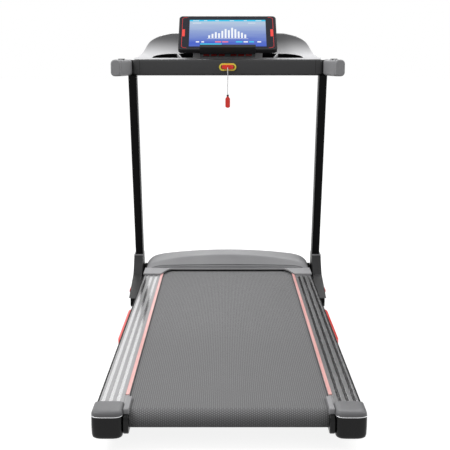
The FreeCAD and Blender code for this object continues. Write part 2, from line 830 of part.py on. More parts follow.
def safety_key():
    """The magnetic key: a rounded plug with a grip rib across its face."""
    inset = 6.4
    half = D.lock_tall / 2 - inset
    face = D.bar_face_y
    plug = extrude("y", rectangle(-D.lock_wide / 2 + inset + 3, D.lock_wide / 2 - inset - 3,
                                  D.lock_z - half, D.lock_z + half), face - 12, face - 0.1)
    round_edges(plug, half - 0.2, along("y"))
    round_edges(plug, 1.5, lambda a, b, m: abs(m.y - (face.value - 12)) < 0.05)
    rib = box(-4, 4, face - 16, face - 12, D.lock_z - half, D.lock_z + half)
    return fuse([plug, rib])


CORD_POINTS = (
    (0.0, -16.0, -2.0),
    (0.0, -22.0, -3.0),
    (0.3, -27.5, -10.0),
    (0.0, -29.0, -23.0),
    (0.6, -29.6, -45.0),
    (-0.4, -29.2, -72.0),
    (0.0, -29.4, -98.0),
)


def cord_route():
    """The route's points: out of the key's rib, then down to the bead."""
    return [V(x, D.bar_face_y.value + y, D.lock_z.value + z) for x, y, z in CORD_POINTS]


def cord_path(points):
    """Straight runs joined by arcs as large as their runs allow."""
    edges = []
    last = points[0]
    for before, corner, after in zip(points, points[1:], points[2:]):
        run_in = corner - before
        run_out = after - corner
        reach = 0.45 * min(run_in.Length, run_out.Length)
        turn = run_in.getAngle(run_out)
        start = corner - V(run_in).normalize() * reach
        end = corner + V(run_out).normalize() * reach
        radius = reach / math.tan(turn / 2)
        print("cord radius %.1f mm at a turn of %.0f degrees" % (radius, math.degrees(turn)))
        inward = ((start + end) * 0.5 - corner).normalize()
        middle = corner + inward * (radius / math.cos(turn / 2) - radius)
        edges.append(Part.LineSegment(last, start).toShape())
        edges.append(Part.Arc(start, middle, end).toShape())
        last = end
    edges.append(Part.LineSegment(last, points[-1]).toShape())
    return Part.Wire(edges)


def safety_cord():
    """The cord as a round tube along its route."""
    points = cord_route()
    path = cord_path(points)
    heading = points[1] - points[0]
    circle = Part.Wire([Part.Circle(points[0], heading, D.cord_rad.value).toShape()])
    tube = path.makePipeShell([circle], True, False)
    made = doc.addObject("Part::Feature", "Cord")
    made.Shape = tube
    expected = math.pi * D.cord_rad.value ** 2 * path.Length
    print("cord length %.1f mm, volume %.1f of %.1f" % (path.Length, tube.Volume, expected))
    return made


def cord_end_z():
    return D.lock_z + CORD_POINTS[-1][2]


def cord_bead():
    y = D.bar_face_y + CORD_POINTS[-1][1]
    return rod("z", 0, y, cord_end_z() - 6, 4, 6)


def key_clip():
    """The clip at the cord's end: a flat tongue that narrows towards the cord."""
    top = cord_end_z() - 6
    outline = [
        (-3, top), (-8.5, top - 8), (-8.5, top - 36, 10, 1), (8.5, top - 36), (8.5, top - 8), (3, top),
    ]
    y = D.bar_face_y + CORD_POINTS[-1][1]
    clip = extrude("y", outline, y - 4, y + 4)
    return clip


# Deck: rails, steel frame, board, rollers and belt

def side_rail():
    """The extruded foot rail: a grooved top, an outer skirt and an inner lip over the belt."""
    top = D.rail_top
    groove_low = top - D.groove_deep
    points = [(D.rail_outer - D.rail_wall, D.rail_bottom), (D.rail_outer, D.rail_bottom), (D.rail_outer, top - 6),
              (D.rail_outer - 6, top)]
    first = D.rail_outer - 10
    for i in range(3):
        edge = first - D.groove_pitch * i
        points += [(edge, top), (edge, groove_low), (edge - D.groove_wide, groove_low),
                   (edge - D.groove_wide, top)]
    points += [
        (D.rail_inner + D.strip_wide + 1, top),
        (D.rail_inner + D.strip_wide + 1, top - D.strip_thick),
        (D.rail_inner, top - D.strip_thick),
        (D.rail_inner, rail_under),
        (D.rail_outer - D.rail_wall, rail_under),
    ]
    return extrude("y", points, cap_front_y + 2, D.rail_front_y)


def rail_strip():
    """The coloured strip in the rebate along a rail's inner edge."""
    return box(D.rail_inner + 0.5, D.rail_inner + D.strip_wide + 0.5, cap_front_y + 60, D.rail_front_y,
               D.rail_top - D.strip_thick, D.rail_top + 0.2)


def side_trim():
    """The coloured moulding halfway along a rail's skirt."""
    high = D.rail_top - 11
    outline = [
        (D.rail_outer, high), (D.rail_outer, high - 30), (D.rail_outer + 5, high - 30),
        (D.rail_outer + 11, high - 22), (D.rail_outer + 11, high - 6), (D.rail_outer + 7, high),
    ]
    return extrude("y", outline, -215, 125)


def side_tube():
    """A steel side tube with its wall, open ends and the front axle's hole."""
    tube_front = D.pivot_y + 12
    outer = extrude("y", rectangle(D.tube_inner, tube_outer, D.tube_low, tube_top), cap_front_y - 25, tube_front)
    round_edges(outer, 3, along("y"))
    wall = D.tube_wall
    inner = box(D.tube_inner + wall, tube_outer - wall, rear_y, front_y, D.tube_low + wall, tube_top - wall)
    axle = rod("x", D.tube_inner - 1, D.front_roller_y, roller_z, D.axle_rad + 0.1, D.tube_wide + 2)
    pin = rod("x", D.tube_inner - 1, D.pivot_y, D.pivot_z, D.pin_rad + 0.1, D.tube_wide + 2)
    rear_axle = rod("x", D.tube_inner - 1, rear_roller_y, roller_z, D.axle_rad + 0.1, D.tube_wide + 2)
    return cut(outer, [inner, axle, pin, rear_axle])


MEMBER_PLACES = (-560, -200, 150, 470)


def crossmembers():
    """The steel tubes between the side tubes, inside the belt's loop."""
    made = []
    for y in MEMBER_PLACES:
        tube = box(-D.tube_inner, D.tube_inner, y - D.member_wide / 2, y + D.member_wide / 2,
                   D.member_low, member_top)
        hollow = box(-D.tube_inner - 1, D.tube_inner + 1, y - D.member_wide / 2 + 2,
                     y + D.member_wide / 2 - 2, D.member_low + 2, member_top - 2)
        made.append(cut(tube, [hollow]))
    return made


def deck_cushions():
    """Rubber springs between the crossmembers and the board."""
    pads = []
    for y in MEMBER_PLACES:
        pads.append(rod("z", 200, y, member_top, 15, board_low - member_top))
    return both_sides(group(pads))


def running_board():
    """The board below the belt, with its ends rounded over."""
    outline = [
        (rear_roller_y + D.roller_rad + 12, board_low),
        (D.front_roller_y - D.roller_rad - 12, board_low),
        (D.front_roller_y - D.roller_rad - 12, board_top - 5),
        (D.front_roller_y - D.roller_rad - 17, board_top),
        (rear_roller_y + D.roller_rad + 17, board_top),
        (rear_roller_y + D.roller_rad + 12, board_top - 5),
    ]
    return extrude("x", outline, -D.board_half, D.board_half)


def loop_wire(x, first, r1, second, r2):
    """Two arcs and their outer tangents round two centres given as (y, z)."""
    dy = second[0] - first[0]
    dz = second[1] - first[1]
    span = math.hypot(dy, dz)
    heading = math.atan2(dz, dy)
    open_angle = math.acos((r1 - r2) / span)

    def at(centre, radius, angle):
        return V(x, centre[0] + radius * math.cos(angle), centre[1] + radius * math.sin(angle))

    up, down = heading + open_angle, heading - open_angle
    back = heading + math.pi
    a1, a2, a3 = at(first, r1, up), at(first, r1, back), at(first, r1, down)
    b1, b2, b3 = at(second, r2, down), at(second, r2, heading), at(second, r2, up)
    return Part.Wire([
        Part.Arc(a1, a2, a3).toShape(), Part.LineSegment(a3, b1).toShape(),
        Part.Arc(b1, b2, b3).toShape(), Part.LineSegment(b3, a1).toShape(),
    ])


def belt_loop(x0, x1, first, r1, second, r2, thick):
    """A flat belt round two pulleys."""
    outer = Part.Face(loop_wire(x0, first, r1 + thick, second, r2 + thick))
    inner = Part.Face(loop_wire(x0, first, r1, second, r2))
    run = V(x1 - x0, 0, 0)
    made = doc.addObject("Part::Feature", "Belt")
    made.Shape = outer.extrude(run).cut(inner.extrude(run))
    return made


def running_belt():
    half = D.belt_half.value
    front = (D.front_roller_y.value, roller_z.value)
    rear = (rear_roller_y.value, roller_z.value)
    radius = belt_inner_rad.value
    return belt_loop(-half, half, rear, radius, front, radius, D.belt_thick.value)


def drive_belt():
    front = (D.front_roller_y.value, roller_z.value)
    motor = (D.motor_y.value, D.motor_z.value)
    slip = D.slip.value
    return belt_loop(D.drive_x.value + 2, drive_outer.value - 2, front, D.roller_pulley_rad.value + slip - 2,
                     motor, D.motor_pulley_rad.value + slip - 2, D.drive_belt_thick.value)


def pulley(x0, y, z, radius, bore):
    """A flanged pulley with a flat belt seat."""
    blank = rod("x", x0, y, z, radius, D.drive_wide)
    seat_outer = rod("x", x0 + 1.5, y, z, radius + 1, D.drive_wide - 3)
    seat_inner = rod("x", x0 + 1.4, y, z, radius - 2, D.drive_wide - 2.8)
    bored = rod("x", x0 - 1, y, z, bore, D.drive_wide + 2)
    return cut(blank, [cut(seat_outer, [seat_inner]), bored])


def roller(y):
    """A steel roller: a tube with an end disc that holds each bearing."""
    shell = rod("x", -roller_half, y, roller_z, D.roller_rad, 2 * roller_half)
    bore = rod("x", -roller_half - 1, y, roller_z, D.roller_rad - 3, 2 * roller_half + 2)
    disc_rad = D.roller_rad - 3
    disc = rod("x", roller_half - 14, y, roller_z, disc_rad, 12)
    hole = rod("x", roller_half - 15, y, roller_z, D.axle_rad + D.bore_gap, 14)
    ring = cut(disc, [hole])
    return fuse([cut(shell, [bore]), ring, mirror(ring)])


def axle(y):
    return rod("x", -tube_outer + 2, y, roller_z, D.axle_rad, 2 * tube_outer - 4)


def strut_crossbar():
    """The tube below the side rails that carries the strut's upper pin between two ears."""
    middle = D.strut_deck_y - 52
    top = D.tube_low
    bar = box(-tube_outer, tube_outer, middle - 11, middle + 11, top - 20, top)
    inner = D.strut_rad + 1
    outline = [(middle + 11, top - 20), (D.strut_deck_y + 9, D.strut_z - 8), (D.strut_deck_y + 9, D.strut_z + 8),
               (middle + 11, top)]
    ear = extrude("x", outline, inner, inner + 4)
    return fuse([bar, ear, mirror(ear)])


def strut_cylinder():
    """The gas strut's cylinder with its eye on the floor pivot."""
    y = D.strut_base_y
    length = (D.strut_base_y - D.strut_deck_y) * 0.62
    tube = rod("y", 0, y - 14 - length, D.strut_z, D.strut_rad, length)
    bore = rod("y", 0, y - 15 - length, D.strut_z, D.rod_rad + 0.3, length - 6)
    neck = rod("y", 0, y - 14.5, D.strut_z, 5, 8)
    eye = rod("x", -D.strut_rad + 1, y, D.strut_z, 9, 2 * D.strut_rad - 2)
    hole = rod("x", -D.strut_rad, y, D.strut_z, D.strut_pin_rad + D.bore_gap, 2 * D.strut_rad)
    body = fuse([cut(tube, [bore]), neck, eye])
    return cut(body, [hole])


def strut_rod():
    """The gas strut's rod. Its eye lies between the deck's ears and its pin stops short of them."""
    start = D.strut_deck_y
    length = (D.strut_base_y - D.strut_deck_y) * 0.92
    shaft = rod("y", 0, start + 6, D.strut_z, D.rod_rad, length - 6)
    half = D.strut_rad - 1
    eye = rod("x", -half, start, D.strut_z, 9, 2 * half)
    pin = rod("x", -half - 1.4, start, D.strut_z, D.strut_pin_rad, 2 * half + 2.8)
    return fuse([shaft, eye, pin])


# Rear end caps, lids, guides and feet

def end_cap():
    """The lower half of a rear end cap, open towards the rail, with an adjuster window."""
    y1 = cap_front_y
    outer = extrude("y", rectangle(D.cap_inner, D.cap_outer, D.rail_bottom, D.cap_top), rear_y, y1)
    round_edges(outer, 7, along("y"))
    round_edges(outer, 12, lambda a, b, m: abs(m.y - rear_y.value) < 0.1)
    wall = D.cap_wall
    inner = box(D.cap_inner + wall, D.cap_outer - wall, rear_y + wall + 9, y1 + 1,
                D.rail_bottom + wall, D.cap_top - wall)
    axle_hole = rod("x", D.cap_inner - 1, rear_roller_y, roller_z, D.axle_rad + 3, wall + 2)
    middle = (D.cap_inner + D.cap_outer) / 2
    window = extrude("y", rectangle(middle - 7, middle + 7, roller_z - 18, roller_z + 18), rear_y - 1, rear_y + 16)
    round_edges(window, 6.9, along("y"))
    return cut(outer, [inner, axle_hole, window])


def adjuster_bolt():
    """The belt tension bolt behind the window of an end cap."""
    middle = (D.cap_inner + D.cap_outer) / 2
    washer = rod("y", middle, rear_y + 13, roller_z, 8, 3)
    shank = rod("y", middle, rear_y + 16, roller_z, 4, rear_roller_y - rear_y - 16 - D.axle_rad)
    head = rod("y", middle, rear_y + 7, roller_z, 6.5, 6)
    socket = doc.addObject("Part::Prism", "Socket")
    socket.Polygon = 6
    bind(socket, "Circumradius", 3.4)
    bind(socket, "Height", 5)
    socket.Placement = FreeCAD.Placement(V(), AXIS_TURN["y"])
    place(socket, middle, rear_y + 6, roller_z)
    return cut(fuse([washer, shank, head]), [socket])


def cap_lid():
    """The rounded lid that closes an end cap and covers the rail's end."""
    low = D.cap_top + D.slip
    outline = [
        (rear_y + 10, low), (cap_front_y + 8, low), (cap_front_y + 8, D.lid_top),
        (rear_y + 34, D.lid_top, 40, 1), (rear_y + 2, low + 3),
    ]
    lid = extrude("x", outline, D.cap_inner, D.cap_outer)
    round_edges(lid, 2.5, lambda a, b, m: m.z > low.value + 4 and abs(a.x - b.x) < 0.1)
    rail = box(D.rail_inner - 1, D.rail_outer + 0.3, cap_front_y + 1, cap_front_y + 9, low - 1, D.rail_top + 0.3)
    return cut(lid, [rail])


def belt_guide():
    """The guard over the belt's edge where it turns round the rear roller."""
    inner = D.belt_half - 14
    low = D.belt_top + 1.5
    top = box(inner, D.cap_inner - 1, rear_y + 20, cap_front_y + 46, rail_under + 4.3, D.lid_top - 1)
    rear = box(inner, D.cap_inner, rear_y + 8, rear_y + 24, D.rail_bottom + 8, low + 4)
    joint = box(inner, D.cap_inner, rear_y + 8, rear_y + 60, low + 1, D.lid_top - 1)
    return fuse([top, rear, joint])


def rear_foot():
    """A moulded rubber foot below a side tube near the rear."""
    cone = doc.addObject("Part::Cone", "Foot")
    bind(cone, "Radius1", D.foot_rad)
    bind(cone, "Radius2", D.foot_rad - 6)
    bind(cone, "Height", D.tube_low)
    place(cone, D.tube_inner + D.tube_wide / 2 - 4, rear_y + D.foot_in, 0)
    return cone


def fold_pin():
    """The pin that carries the deck in the floor runner's ear."""
    start = D.tube_inner + 4
    return rod("x", start, D.pivot_y, D.pivot_z, D.pin_rad, D.runner_inner - 0.3 - start)


# Motor bay

def hood_section(where, low, half, high, corner, crown):
    """An arched outline across the hood: upright sides, round shoulders and a shallow crown."""
    across = half - corner
    crown_radius = (across * across / crown + crown) / 2
    return ("y", where, [
        (-half, low), (half, low), (half, high - corner, corner, 1), (across, high, crown_radius, 1),
        (-across, high, corner, 1), (-half, high - corner),
    ])


def hood_block(inset, low):
    """The hood's dome, smaller all round by a wall's thickness."""
    half = D.rail_outer - inset
    top = D.hood_top - inset
    return loft([
        hood_section(D.hood_rear_y + inset, low, half, top - 27, 16, 3),
        hood_section(D.hood_rear_y + 28, low, half, top - 12, 34, 9),
        hood_section(D.hood_rear_y + 90, low, half, top, 48, 15),
        hood_section(D.hood_rear_y + 128, low, half - 1, top - 8, 40, 12),
        hood_section(front_y - inset, low, half - 6, top - 36, 14, 4),
    ])


def motor_hood():
    """The hood's thin dome, open below and where the belt runs out of it."""
    dome = hood_block(0, D.hood_low)
    inner = hood_block(D.hood_wall, D.hood_low - 5)
    rear_mouth = box(-D.rail_outer + 3, D.rail_outer - 3, D.hood_rear_y - 2, D.hood_rear_y + 8,
                     D.hood_low - 1, D.rail_top + 1)
    return cut(dome, [inner, rear_mouth])


def hood_trim():
    """The flat collar behind the dome: a bar over the belt and a wing over each rail's front end."""
    wing_rear = D.hood_rear_y - 95
    bar_rear = D.hood_rear_y - 14
    lip_low = D.rail_top + 0.6
    return extrude("z", [
        (-D.rail_outer, wing_rear), (-D.rail_inner - 9, wing_rear), (-D.rail_inner + 12, wing_rear + 62),
        (-D.rail_inner + 26, bar_rear), (D.rail_inner - 26, bar_rear), (D.rail_inner - 12, wing_rear + 62),
        (D.rail_inner + 9, wing_rear), (D.rail_outer, wing_rear),
        (D.rail_outer, D.hood_rear_y - 0.1), (-D.rail_outer, D.hood_rear_y - 0.1),
    ], lip_low, lip_low + 5)


def motor_pan():
    """The tray below the motor: a floor with raised sides that the hood meets."""
    rear = D.hood_rear_y + 6
    front = D.pivot_y + 20
    side = D.rail_outer - 1
    outline = [
        (-side, D.hood_low - 0.3), (-side, D.pan_floor + 10), (-side + 10, D.pan_floor),
        (side - 10, D.pan_floor), (side, D.pan_floor + 10), (side, D.hood_low - 0.3),
        (side - D.pan_wall, D.hood_low - 0.3), (side - D.pan_wall, D.pan_floor + 11),
        (side - 11, D.pan_floor + D.pan_wall), (-side + 11, D.pan_floor + D.pan_wall),
        (-side + D.pan_wall, D.pan_floor + 11), (-side + D.pan_wall, D.hood_low - 0.3),
    ]
    tray = extrude("y", outline, rear, front)
    wall = box(-side + 12, side - 12, front - D.pan_wall, front, D.pan_floor + 1, D.hood_low - 0.3)
    hole = rod("x", -D.rail_outer - 2, D.pivot_y, D.pivot_z, D.pin_rad + 0.1, 2 * D.rail_outer + 4)
    inlet = box(-190 - 14.2, -190 + 14.2, front - 6, front + 2, 57.8, 78.2)
    switch = box(-140 - 10.7, -140 + 10.7, front - 6, front + 2, 60.3, 75.7)
    return cut(fuse([tray, wall]), [hole, inlet, switch])


def motor():
    """The drive motor: a can with end bells and its shaft."""
    x0 = D.drive_x - 18 - D.motor_long
    can = rod("x", x0, D.motor_y, D.motor_z, D.motor_rad, D.motor_long)
    bell = rod("x", x0 - 10, D.motor_y, D.motor_z, D.motor_rad - 6, D.motor_long + 20)
    foot = box(x0 + 15, x0 + D.motor_long - 15, D.motor_y - 34, D.motor_y + 34, D.pan_floor + D.pan_wall,
               D.motor_z - D.motor_rad + 12)
    return fuse([can, bell, foot])


def motor_rotor():
    """The motor's turning shaft, with its flywheel fan at the far end."""
    bell_end = D.drive_x - 18 + 10
    return rod("x", bell_end + 0.3, D.motor_y, D.motor_z, D.shaft_rad, drive_outer - bell_end + 2)


def control_board():
    """The drive's circuit board on its heat sink."""
    front = D.pivot_y - 20
    plate = box(-240, -90, D.motor_y - 50, front, D.pan_floor + D.pan_wall, D.pan_floor + D.pan_wall + 6)
    fins = [box(-240, -90, D.motor_y - 50 + 11 * i, D.motor_y - 47 + 11 * i, D.pan_floor + D.pan_wall + 5,
                D.pan_floor + D.pan_wall + 22) for i in range(6)]
    return fuse([plate] + fins)


def mains_inlet():
    """The three-pin inlet at the front of the motor pan."""
    front = D.pivot_y + 20
    shell = box(-190 - 14, -190 + 14, front - 22, front + 1.5, 58, 78)
    well = box(-190 - 11, -190 + 11, front - 16, front + 3, 61, 75)
    pins = [box(-190 + dx - 1, -190 + dx + 1, front - 17, front - 5, 66, 70) for dx in (-6, 0, 6)]
    return fuse([cut(shell, [well])] + pins)


def switch_frame():
    front = D.pivot_y + 20
    shell = box(-140 - 10.5, -140 + 10.5, front - 18, front + 1.5, 60.5, 75.5)
    well = box(-140 - 9, -140 + 9, front - 14, front + 3, 62, 74)
    return cut(shell, [well])


def power_switch():
    """The rocker of the mains switch, on two short trunnions."""
    front = D.pivot_y + 20
    outline = [
        (front - 8, 65.3), (front + 1, 63.8), (front - 0.5, 68), (front + 3, 72.2), (front - 8, 70.7),
    ]
    rocker = extrude("x", outline, -140 - 8.5, -140 + 8.5)
    trunnion = rod("x", -140 - 8.9, front - 5, 68, 1.6, 17.8)
    return fuse([rocker, trunnion])


def build_floor_frame():
    node(both_sides(floor_runner()), "floor_runners")
    rear_tube = fuse([cross_tube(D.mid_cross_y, D.runner_inner), strut_base_bracket()])
    node(group([rear_tube, cross_tube(D.front_cross_y, ear_inner)]), "cross_tubes")
    node(floor_feet(), "floor_feet")
    wheel = transport_wheel()
    node(wheel, "transport_wheel_right")
    node(mirror(wheel), "transport_wheel_left")


def build_uprights():
    node(both_sides(upright()), "uprights")
    node(both_sides(boot()), "boots")
    node(both_sides(boot_collar()), "boot_collars")
    node(both_sides(boot_accent()), "boot_accents")


def build_handlebar():
    node(handlebar(), "handlebar")
    node(both_sides(arm_cap()), "arm_caps")
    node(both_sides(arm_pad()), "arm_pads")


def build_console():
    node(console_shell(), "console_shell")
    node(group([tray_liner(-1), tray_liner(1)]), "tray_liners")
    node(display_neck(), "display_neck")
    node(display_housing(), "display_housing")
    node(display_glass(), "display_glass")
    node(media_ledge(), "media_ledge")
    node(key_panel(), "key_panel")
    for i, u in enumerate(KEY_PLACES, start=1):
        node(console_key(u), "console_key_%d" % i)
    node(lock_bezel(), "lock_bezel")
    node(safety_key(), "safety_key")
    node(safety_cord(), "safety_cord")
    node(cord_bead(), "cord_bead")
    node(key_clip(), "key_clip")


def build_deck():
    node(both_sides(side_rail()), "side_rails")
    node(both_sides(rail_strip()), "rail_strips")
    node(both_sides(side_trim()), "side_trims")
    tube = side_tube()
    node(fuse([tube, mirror(tube), strut_crossbar()] + crossmembers()), "deck_frame")
    node(deck_cushions(), "deck_cushions")
    node(running_board(), "running_board")
    node(running_belt(), "running_belt")
    node(roller(D.front_roller_y), "front_roller")
    node(roller(rear_roller_y), "rear_roller")
    node(group([axle(D.front_roller_y), axle(rear_roller_y)]), "roller_axles")
    node(both_sides(end_cap()), "end_caps")
    node(both_sides(cap_lid()), "end_cap_lids")
    node(both_sides(adjuster_bolt()), "adjuster_bolts")
    node(both_sides(belt_guide()), "belt_guides")
    node(both_sides(rear_foot()), "rear_feet")
    node(both_sides(fold_pin()), "fold_pins")


def build_strut():
    node(strut_cylinder(), "strut_cylinder")
    node(strut_rod(), "strut_rod")


def build_motor_bay():
    node(motor_hood(), "motor_hood")
    node(hood_trim(), "hood_trim")
    node(motor_pan(), "motor_pan")
    node(motor(), "motor")
    node(fuse([pulley(D.drive_x, D.motor_y, D.motor_z, D.motor_pulley_rad, D.shaft_rad), motor_rotor()]),
         "motor_pulley")
    node(pulley(D.drive_x, D.front_roller_y, roller_z, D.roller_pulley_rad, D.axle_rad + D.bore_gap),
         "roller_pulley")
    node(drive_belt(), "drive_belt")
    node(control_board(), "control_board")
    node(group([mains_inlet(), switch_frame()]), "inlet_and_switch_frame")
    node(power_switch(), "power_switch")


def check_and_write():
    """Recompute, look for failed features, then write each sub-part."""
    doc.recompute()
    failed = []
    for thing in doc.Objects:
        if "Invalid" in thing.State or "Error" in thing.State:
            failed.append("%s %s" % (thing.Name, thing.Label))
    for thing in NODES:
        shape = thing.Shape
        if shape.isNull() or not shape.isValid() or shape.Volume < 1:
            failed.append("%s has no sound shape" % thing.Label)
    if failed:
        sys.exit("failed: " + ", ".join(failed))
    for thing in NODES:
        thing.Shape.exportStep("parts/%s.step" % thing.Label)
    print("%d nodes written" % len(NODES))


build_floor_frame()
build_uprights()
build_handlebar()
build_console()
build_deck()
build_strut()
build_motor_bay()
check_and_write()
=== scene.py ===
"""The looks of a folding motorised treadmill, worked out round its packed CAD frame.

Everything is in metres in the frame of the CAD model: X to the runner's right, Y forward, Z up.
"""

import json
import math

import bpy
import numpy as np
from bpy.props import FloatProperty, FloatVectorProperty, PointerProperty, StringProperty
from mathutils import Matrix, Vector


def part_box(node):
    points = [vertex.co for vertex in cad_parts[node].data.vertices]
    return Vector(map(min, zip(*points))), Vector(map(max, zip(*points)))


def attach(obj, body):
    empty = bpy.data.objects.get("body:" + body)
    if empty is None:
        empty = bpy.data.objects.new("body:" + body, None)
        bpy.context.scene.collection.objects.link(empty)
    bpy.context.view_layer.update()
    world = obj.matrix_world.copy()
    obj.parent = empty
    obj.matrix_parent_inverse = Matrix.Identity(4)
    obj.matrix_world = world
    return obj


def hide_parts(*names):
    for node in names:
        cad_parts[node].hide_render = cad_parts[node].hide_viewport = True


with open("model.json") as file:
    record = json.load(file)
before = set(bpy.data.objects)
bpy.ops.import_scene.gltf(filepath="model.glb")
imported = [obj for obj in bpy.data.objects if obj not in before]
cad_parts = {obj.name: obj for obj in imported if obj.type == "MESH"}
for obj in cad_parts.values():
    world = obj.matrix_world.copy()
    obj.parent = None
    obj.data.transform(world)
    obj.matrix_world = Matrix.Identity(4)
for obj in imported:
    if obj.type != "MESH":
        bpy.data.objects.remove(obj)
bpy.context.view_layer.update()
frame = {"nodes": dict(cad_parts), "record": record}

bl_info = {
    "name": "Folding treadmill",
    "version": (1, 0, 0),
    "blender": (4, 5, 0),
    "location": "3D View > Sidebar > Treadmill",
    "description": "Dresses the treadmill's CAD frame with its surfaces, finishes, light and camera",
    "category": "Object",
}

MM = 0.001


def linear(colour):
    """An sRGB hex colour as linear red, green, blue and an alpha of 1."""
    parts = np.array([int(colour[i:i + 2], 16) for i in (1, 3, 5)]) / 255
    curve = np.where(parts <= 0.04045, parts / 12.92, ((parts + 0.055) / 1.055) ** 2.4)
    return (*(float(part) for part in curve), 1.0)


def add(tree, kind, links=None, values=None, **fields):
    """Adds a node, sets its fields and its inputs' values, and links its inputs to other outputs."""
    made = tree.nodes.new(kind)
    for name, value in fields.items():
        setattr(made, name, value)
    for name, value in (values or {}).items():
        made.inputs[name].default_value = value
    for name, source in (links or {}).items():
        tree.links.new(source, made.inputs[name])
    return made


# Sizes and colours that a user may change

class PaintSettings(bpy.types.PropertyGroup):
    """Colours of the painted, moulded and plated pieces."""

    steel: StringProperty(name="Steel paint", description="Satin powder coat of the posts and feet",
                          default="#0b0b0c")
    bar: StringProperty(name="Crossbar", description="Moulded sleeve of the crossbar", default="#3d3d3e")
    grey: StringProperty(name="Grey mouldings", description="Arms, their caps and small covers",
                         default="#98989a")
    hood: StringProperty(name="Motor hood", description="Satin moulded hood", default="#9a9a9c")
    silver: StringProperty(name="Console", description="Silver lacquer of the console", default="#e0e0e2")
    red: StringProperty(name="Red trim", description="Side trims, key clip and boot accents",
                        default="#ff2f20")
    strip: StringProperty(name="Coral strips", description="Printed strips beside the belt",
                          default="#f39a95")


class BeltSettings(bpy.types.PropertyGroup):
    """The running belt's surface."""

    colour: StringProperty(name="Belt", description="PVC cover of the belt", default="#787879")
    pitch: FloatProperty(name="Emboss pitch", description="Spacing of the belt's embossed diamonds",
                         default=10 * MM, min=2 * MM, max=20 * MM, unit="LENGTH")


class ScreenSettings(bpy.types.PropertyGroup):
    """The lit picture on the display."""

    low: StringProperty(name="Lower blue", description="Colour at the picture's lower edge",
                        default="#2c55c8")
    high: StringProperty(name="Upper blue", description="Colour at the picture's upper edge",
                         default="#bdd2e4")
    glow: FloatProperty(name="Glow", description="Strength of the picture's light",
                        default=0.9, min=0, max=5)


class StageSettings(bpy.types.PropertyGroup):
    """Camera and light."""

    eye: FloatVectorProperty(name="Camera place", description="Where the camera stands",
                             subtype="TRANSLATION", size=3, default=(-0.0097, -2.79, 0.928))
    pitch: FloatProperty(name="Downward tilt", description="How far the camera looks down",
                         default=math.radians(10.7), subtype="ANGLE")
    lens: FloatProperty(name="Lens", description="Focal length on a 36 mm sensor", default=72.6)
    side: FloatProperty(name="Sideways shift", description="Lens shift across the frame", default=0.0)


# Finishes

def start_finish(name, colour, roughness, metallic=0.0, ior=1.5, coat=0.0, shine=0.5):
    """A new material with its shader's constants set, and its tree, shader and object coordinates."""
    material = bpy.data.materials.new(name)
    material.use_nodes = True
    tree = material.node_tree
    shader = tree.nodes["Principled BSDF"]
    shader.inputs["Base Color"].default_value = linear(colour)
    shader.inputs["Roughness"].default_value = roughness
    shader.inputs["Metallic"].default_value = metallic
    if not metallic:
        shader.inputs["IOR"].default_value = ior
        shader.inputs["Specular IOR Level"].default_value = shine
    if coat:
        shader.inputs["Coat Weight"].default_value = coat
        shader.inputs["Coat Roughness"].default_value = 0.06
    place = add(tree, "ShaderNodeTexCoord").outputs["Object"]
    return material, tree, shader, place


def vary(tree, shader, colour=None, roughness=None, relief=None):
    """Patterns on a finish: colour is a mask from 0 to 1 and the hex colours at its ends, roughness a mask
    and the values at its ends, and relief a height with its strength and depth."""
    if colour:
        mask, low, high = colour
        mix = add(tree, "ShaderNodeMix", {"Factor": mask}, {6: linear(low), 7: linear(high)},
                  data_type="RGBA")
        tree.links.new(mix.outputs[2], shader.inputs["Base Color"])
    if roughness:
        mask, low, high = roughness
        span = add(tree, "ShaderNodeMapRange", {"Value": mask}, {"To Min": low, "To Max": high})
        tree.links.new(span.outputs["Result"], shader.inputs["Roughness"])
    if relief:
        height, strength, depth = relief
        bump = add(tree, "ShaderNodeBump", {"Height": height}, {"Strength": strength, "Distance": depth})
        tree.links.new(bump.outputs["Normal"], shader.inputs["Normal"])


def shade(colour, share):
    """A hex colour made darker or lighter by a share of itself."""
    parts = [min(255, round(int(colour[i:i + 2], 16) * share)) for i in (1, 3, 5)]
    return "#%02x%02x%02x" % tuple(parts)


def powder_coat(name, colour, gloss=0.38, shine=0.07):
    """Steel with a baked powder coat: a satin skin with faint orange peel.
    Real peel is about 1 mm across; it is drawn 3 mm across so that it shows."""
    material, tree, shader, place = start_finish(name, colour, gloss, shine=shine)
    peel = add(tree, "ShaderNodeTexNoise", {"Vector": place}, {"Scale": 1 / (3 * MM), "Detail": 2.0})
    cloud = add(tree, "ShaderNodeTexNoise", {"Vector": place}, {"Scale": 1 / (120 * MM), "Detail": 3.0})
    vary(tree, shader, colour=(cloud.outputs["Fac"], shade(colour, 0.86), shade(colour, 1.16)),
         roughness=(peel.outputs["Fac"], gloss - 0.06, gloss + 0.08),
         relief=(peel.outputs["Fac"], 0.12, 0.3 * MM))
    return material


def moulded(name, colour, gloss=0.45, grain=2.0, depth=0.25, coat=0.0, shine=0.3):
    """Injection-moulded ABS with a spark-eroded grain.
    Real grain is 0.3 to 0.8 mm; it is drawn about 2 mm so that it shows."""
    material, tree, shader, place = start_finish(name, colour, gloss, coat=coat, shine=shine)
    cells = add(tree, "ShaderNodeTexVoronoi", {"Vector": place}, {"Scale": 1 / (grain * MM)},
                feature="SMOOTH_F1")
    cloud = add(tree, "ShaderNodeTexNoise", {"Vector": place}, {"Scale": 1 / (160 * MM), "Detail": 3.0})
    vary(tree, shader, colour=(cloud.outputs["Fac"], shade(colour, 0.93), shade(colour, 1.07)),
         roughness=(cells.outputs["Distance"], gloss - 0.05, gloss + 0.1),
         relief=(cells.outputs["Distance"], depth, 0.15 * MM))
    return material


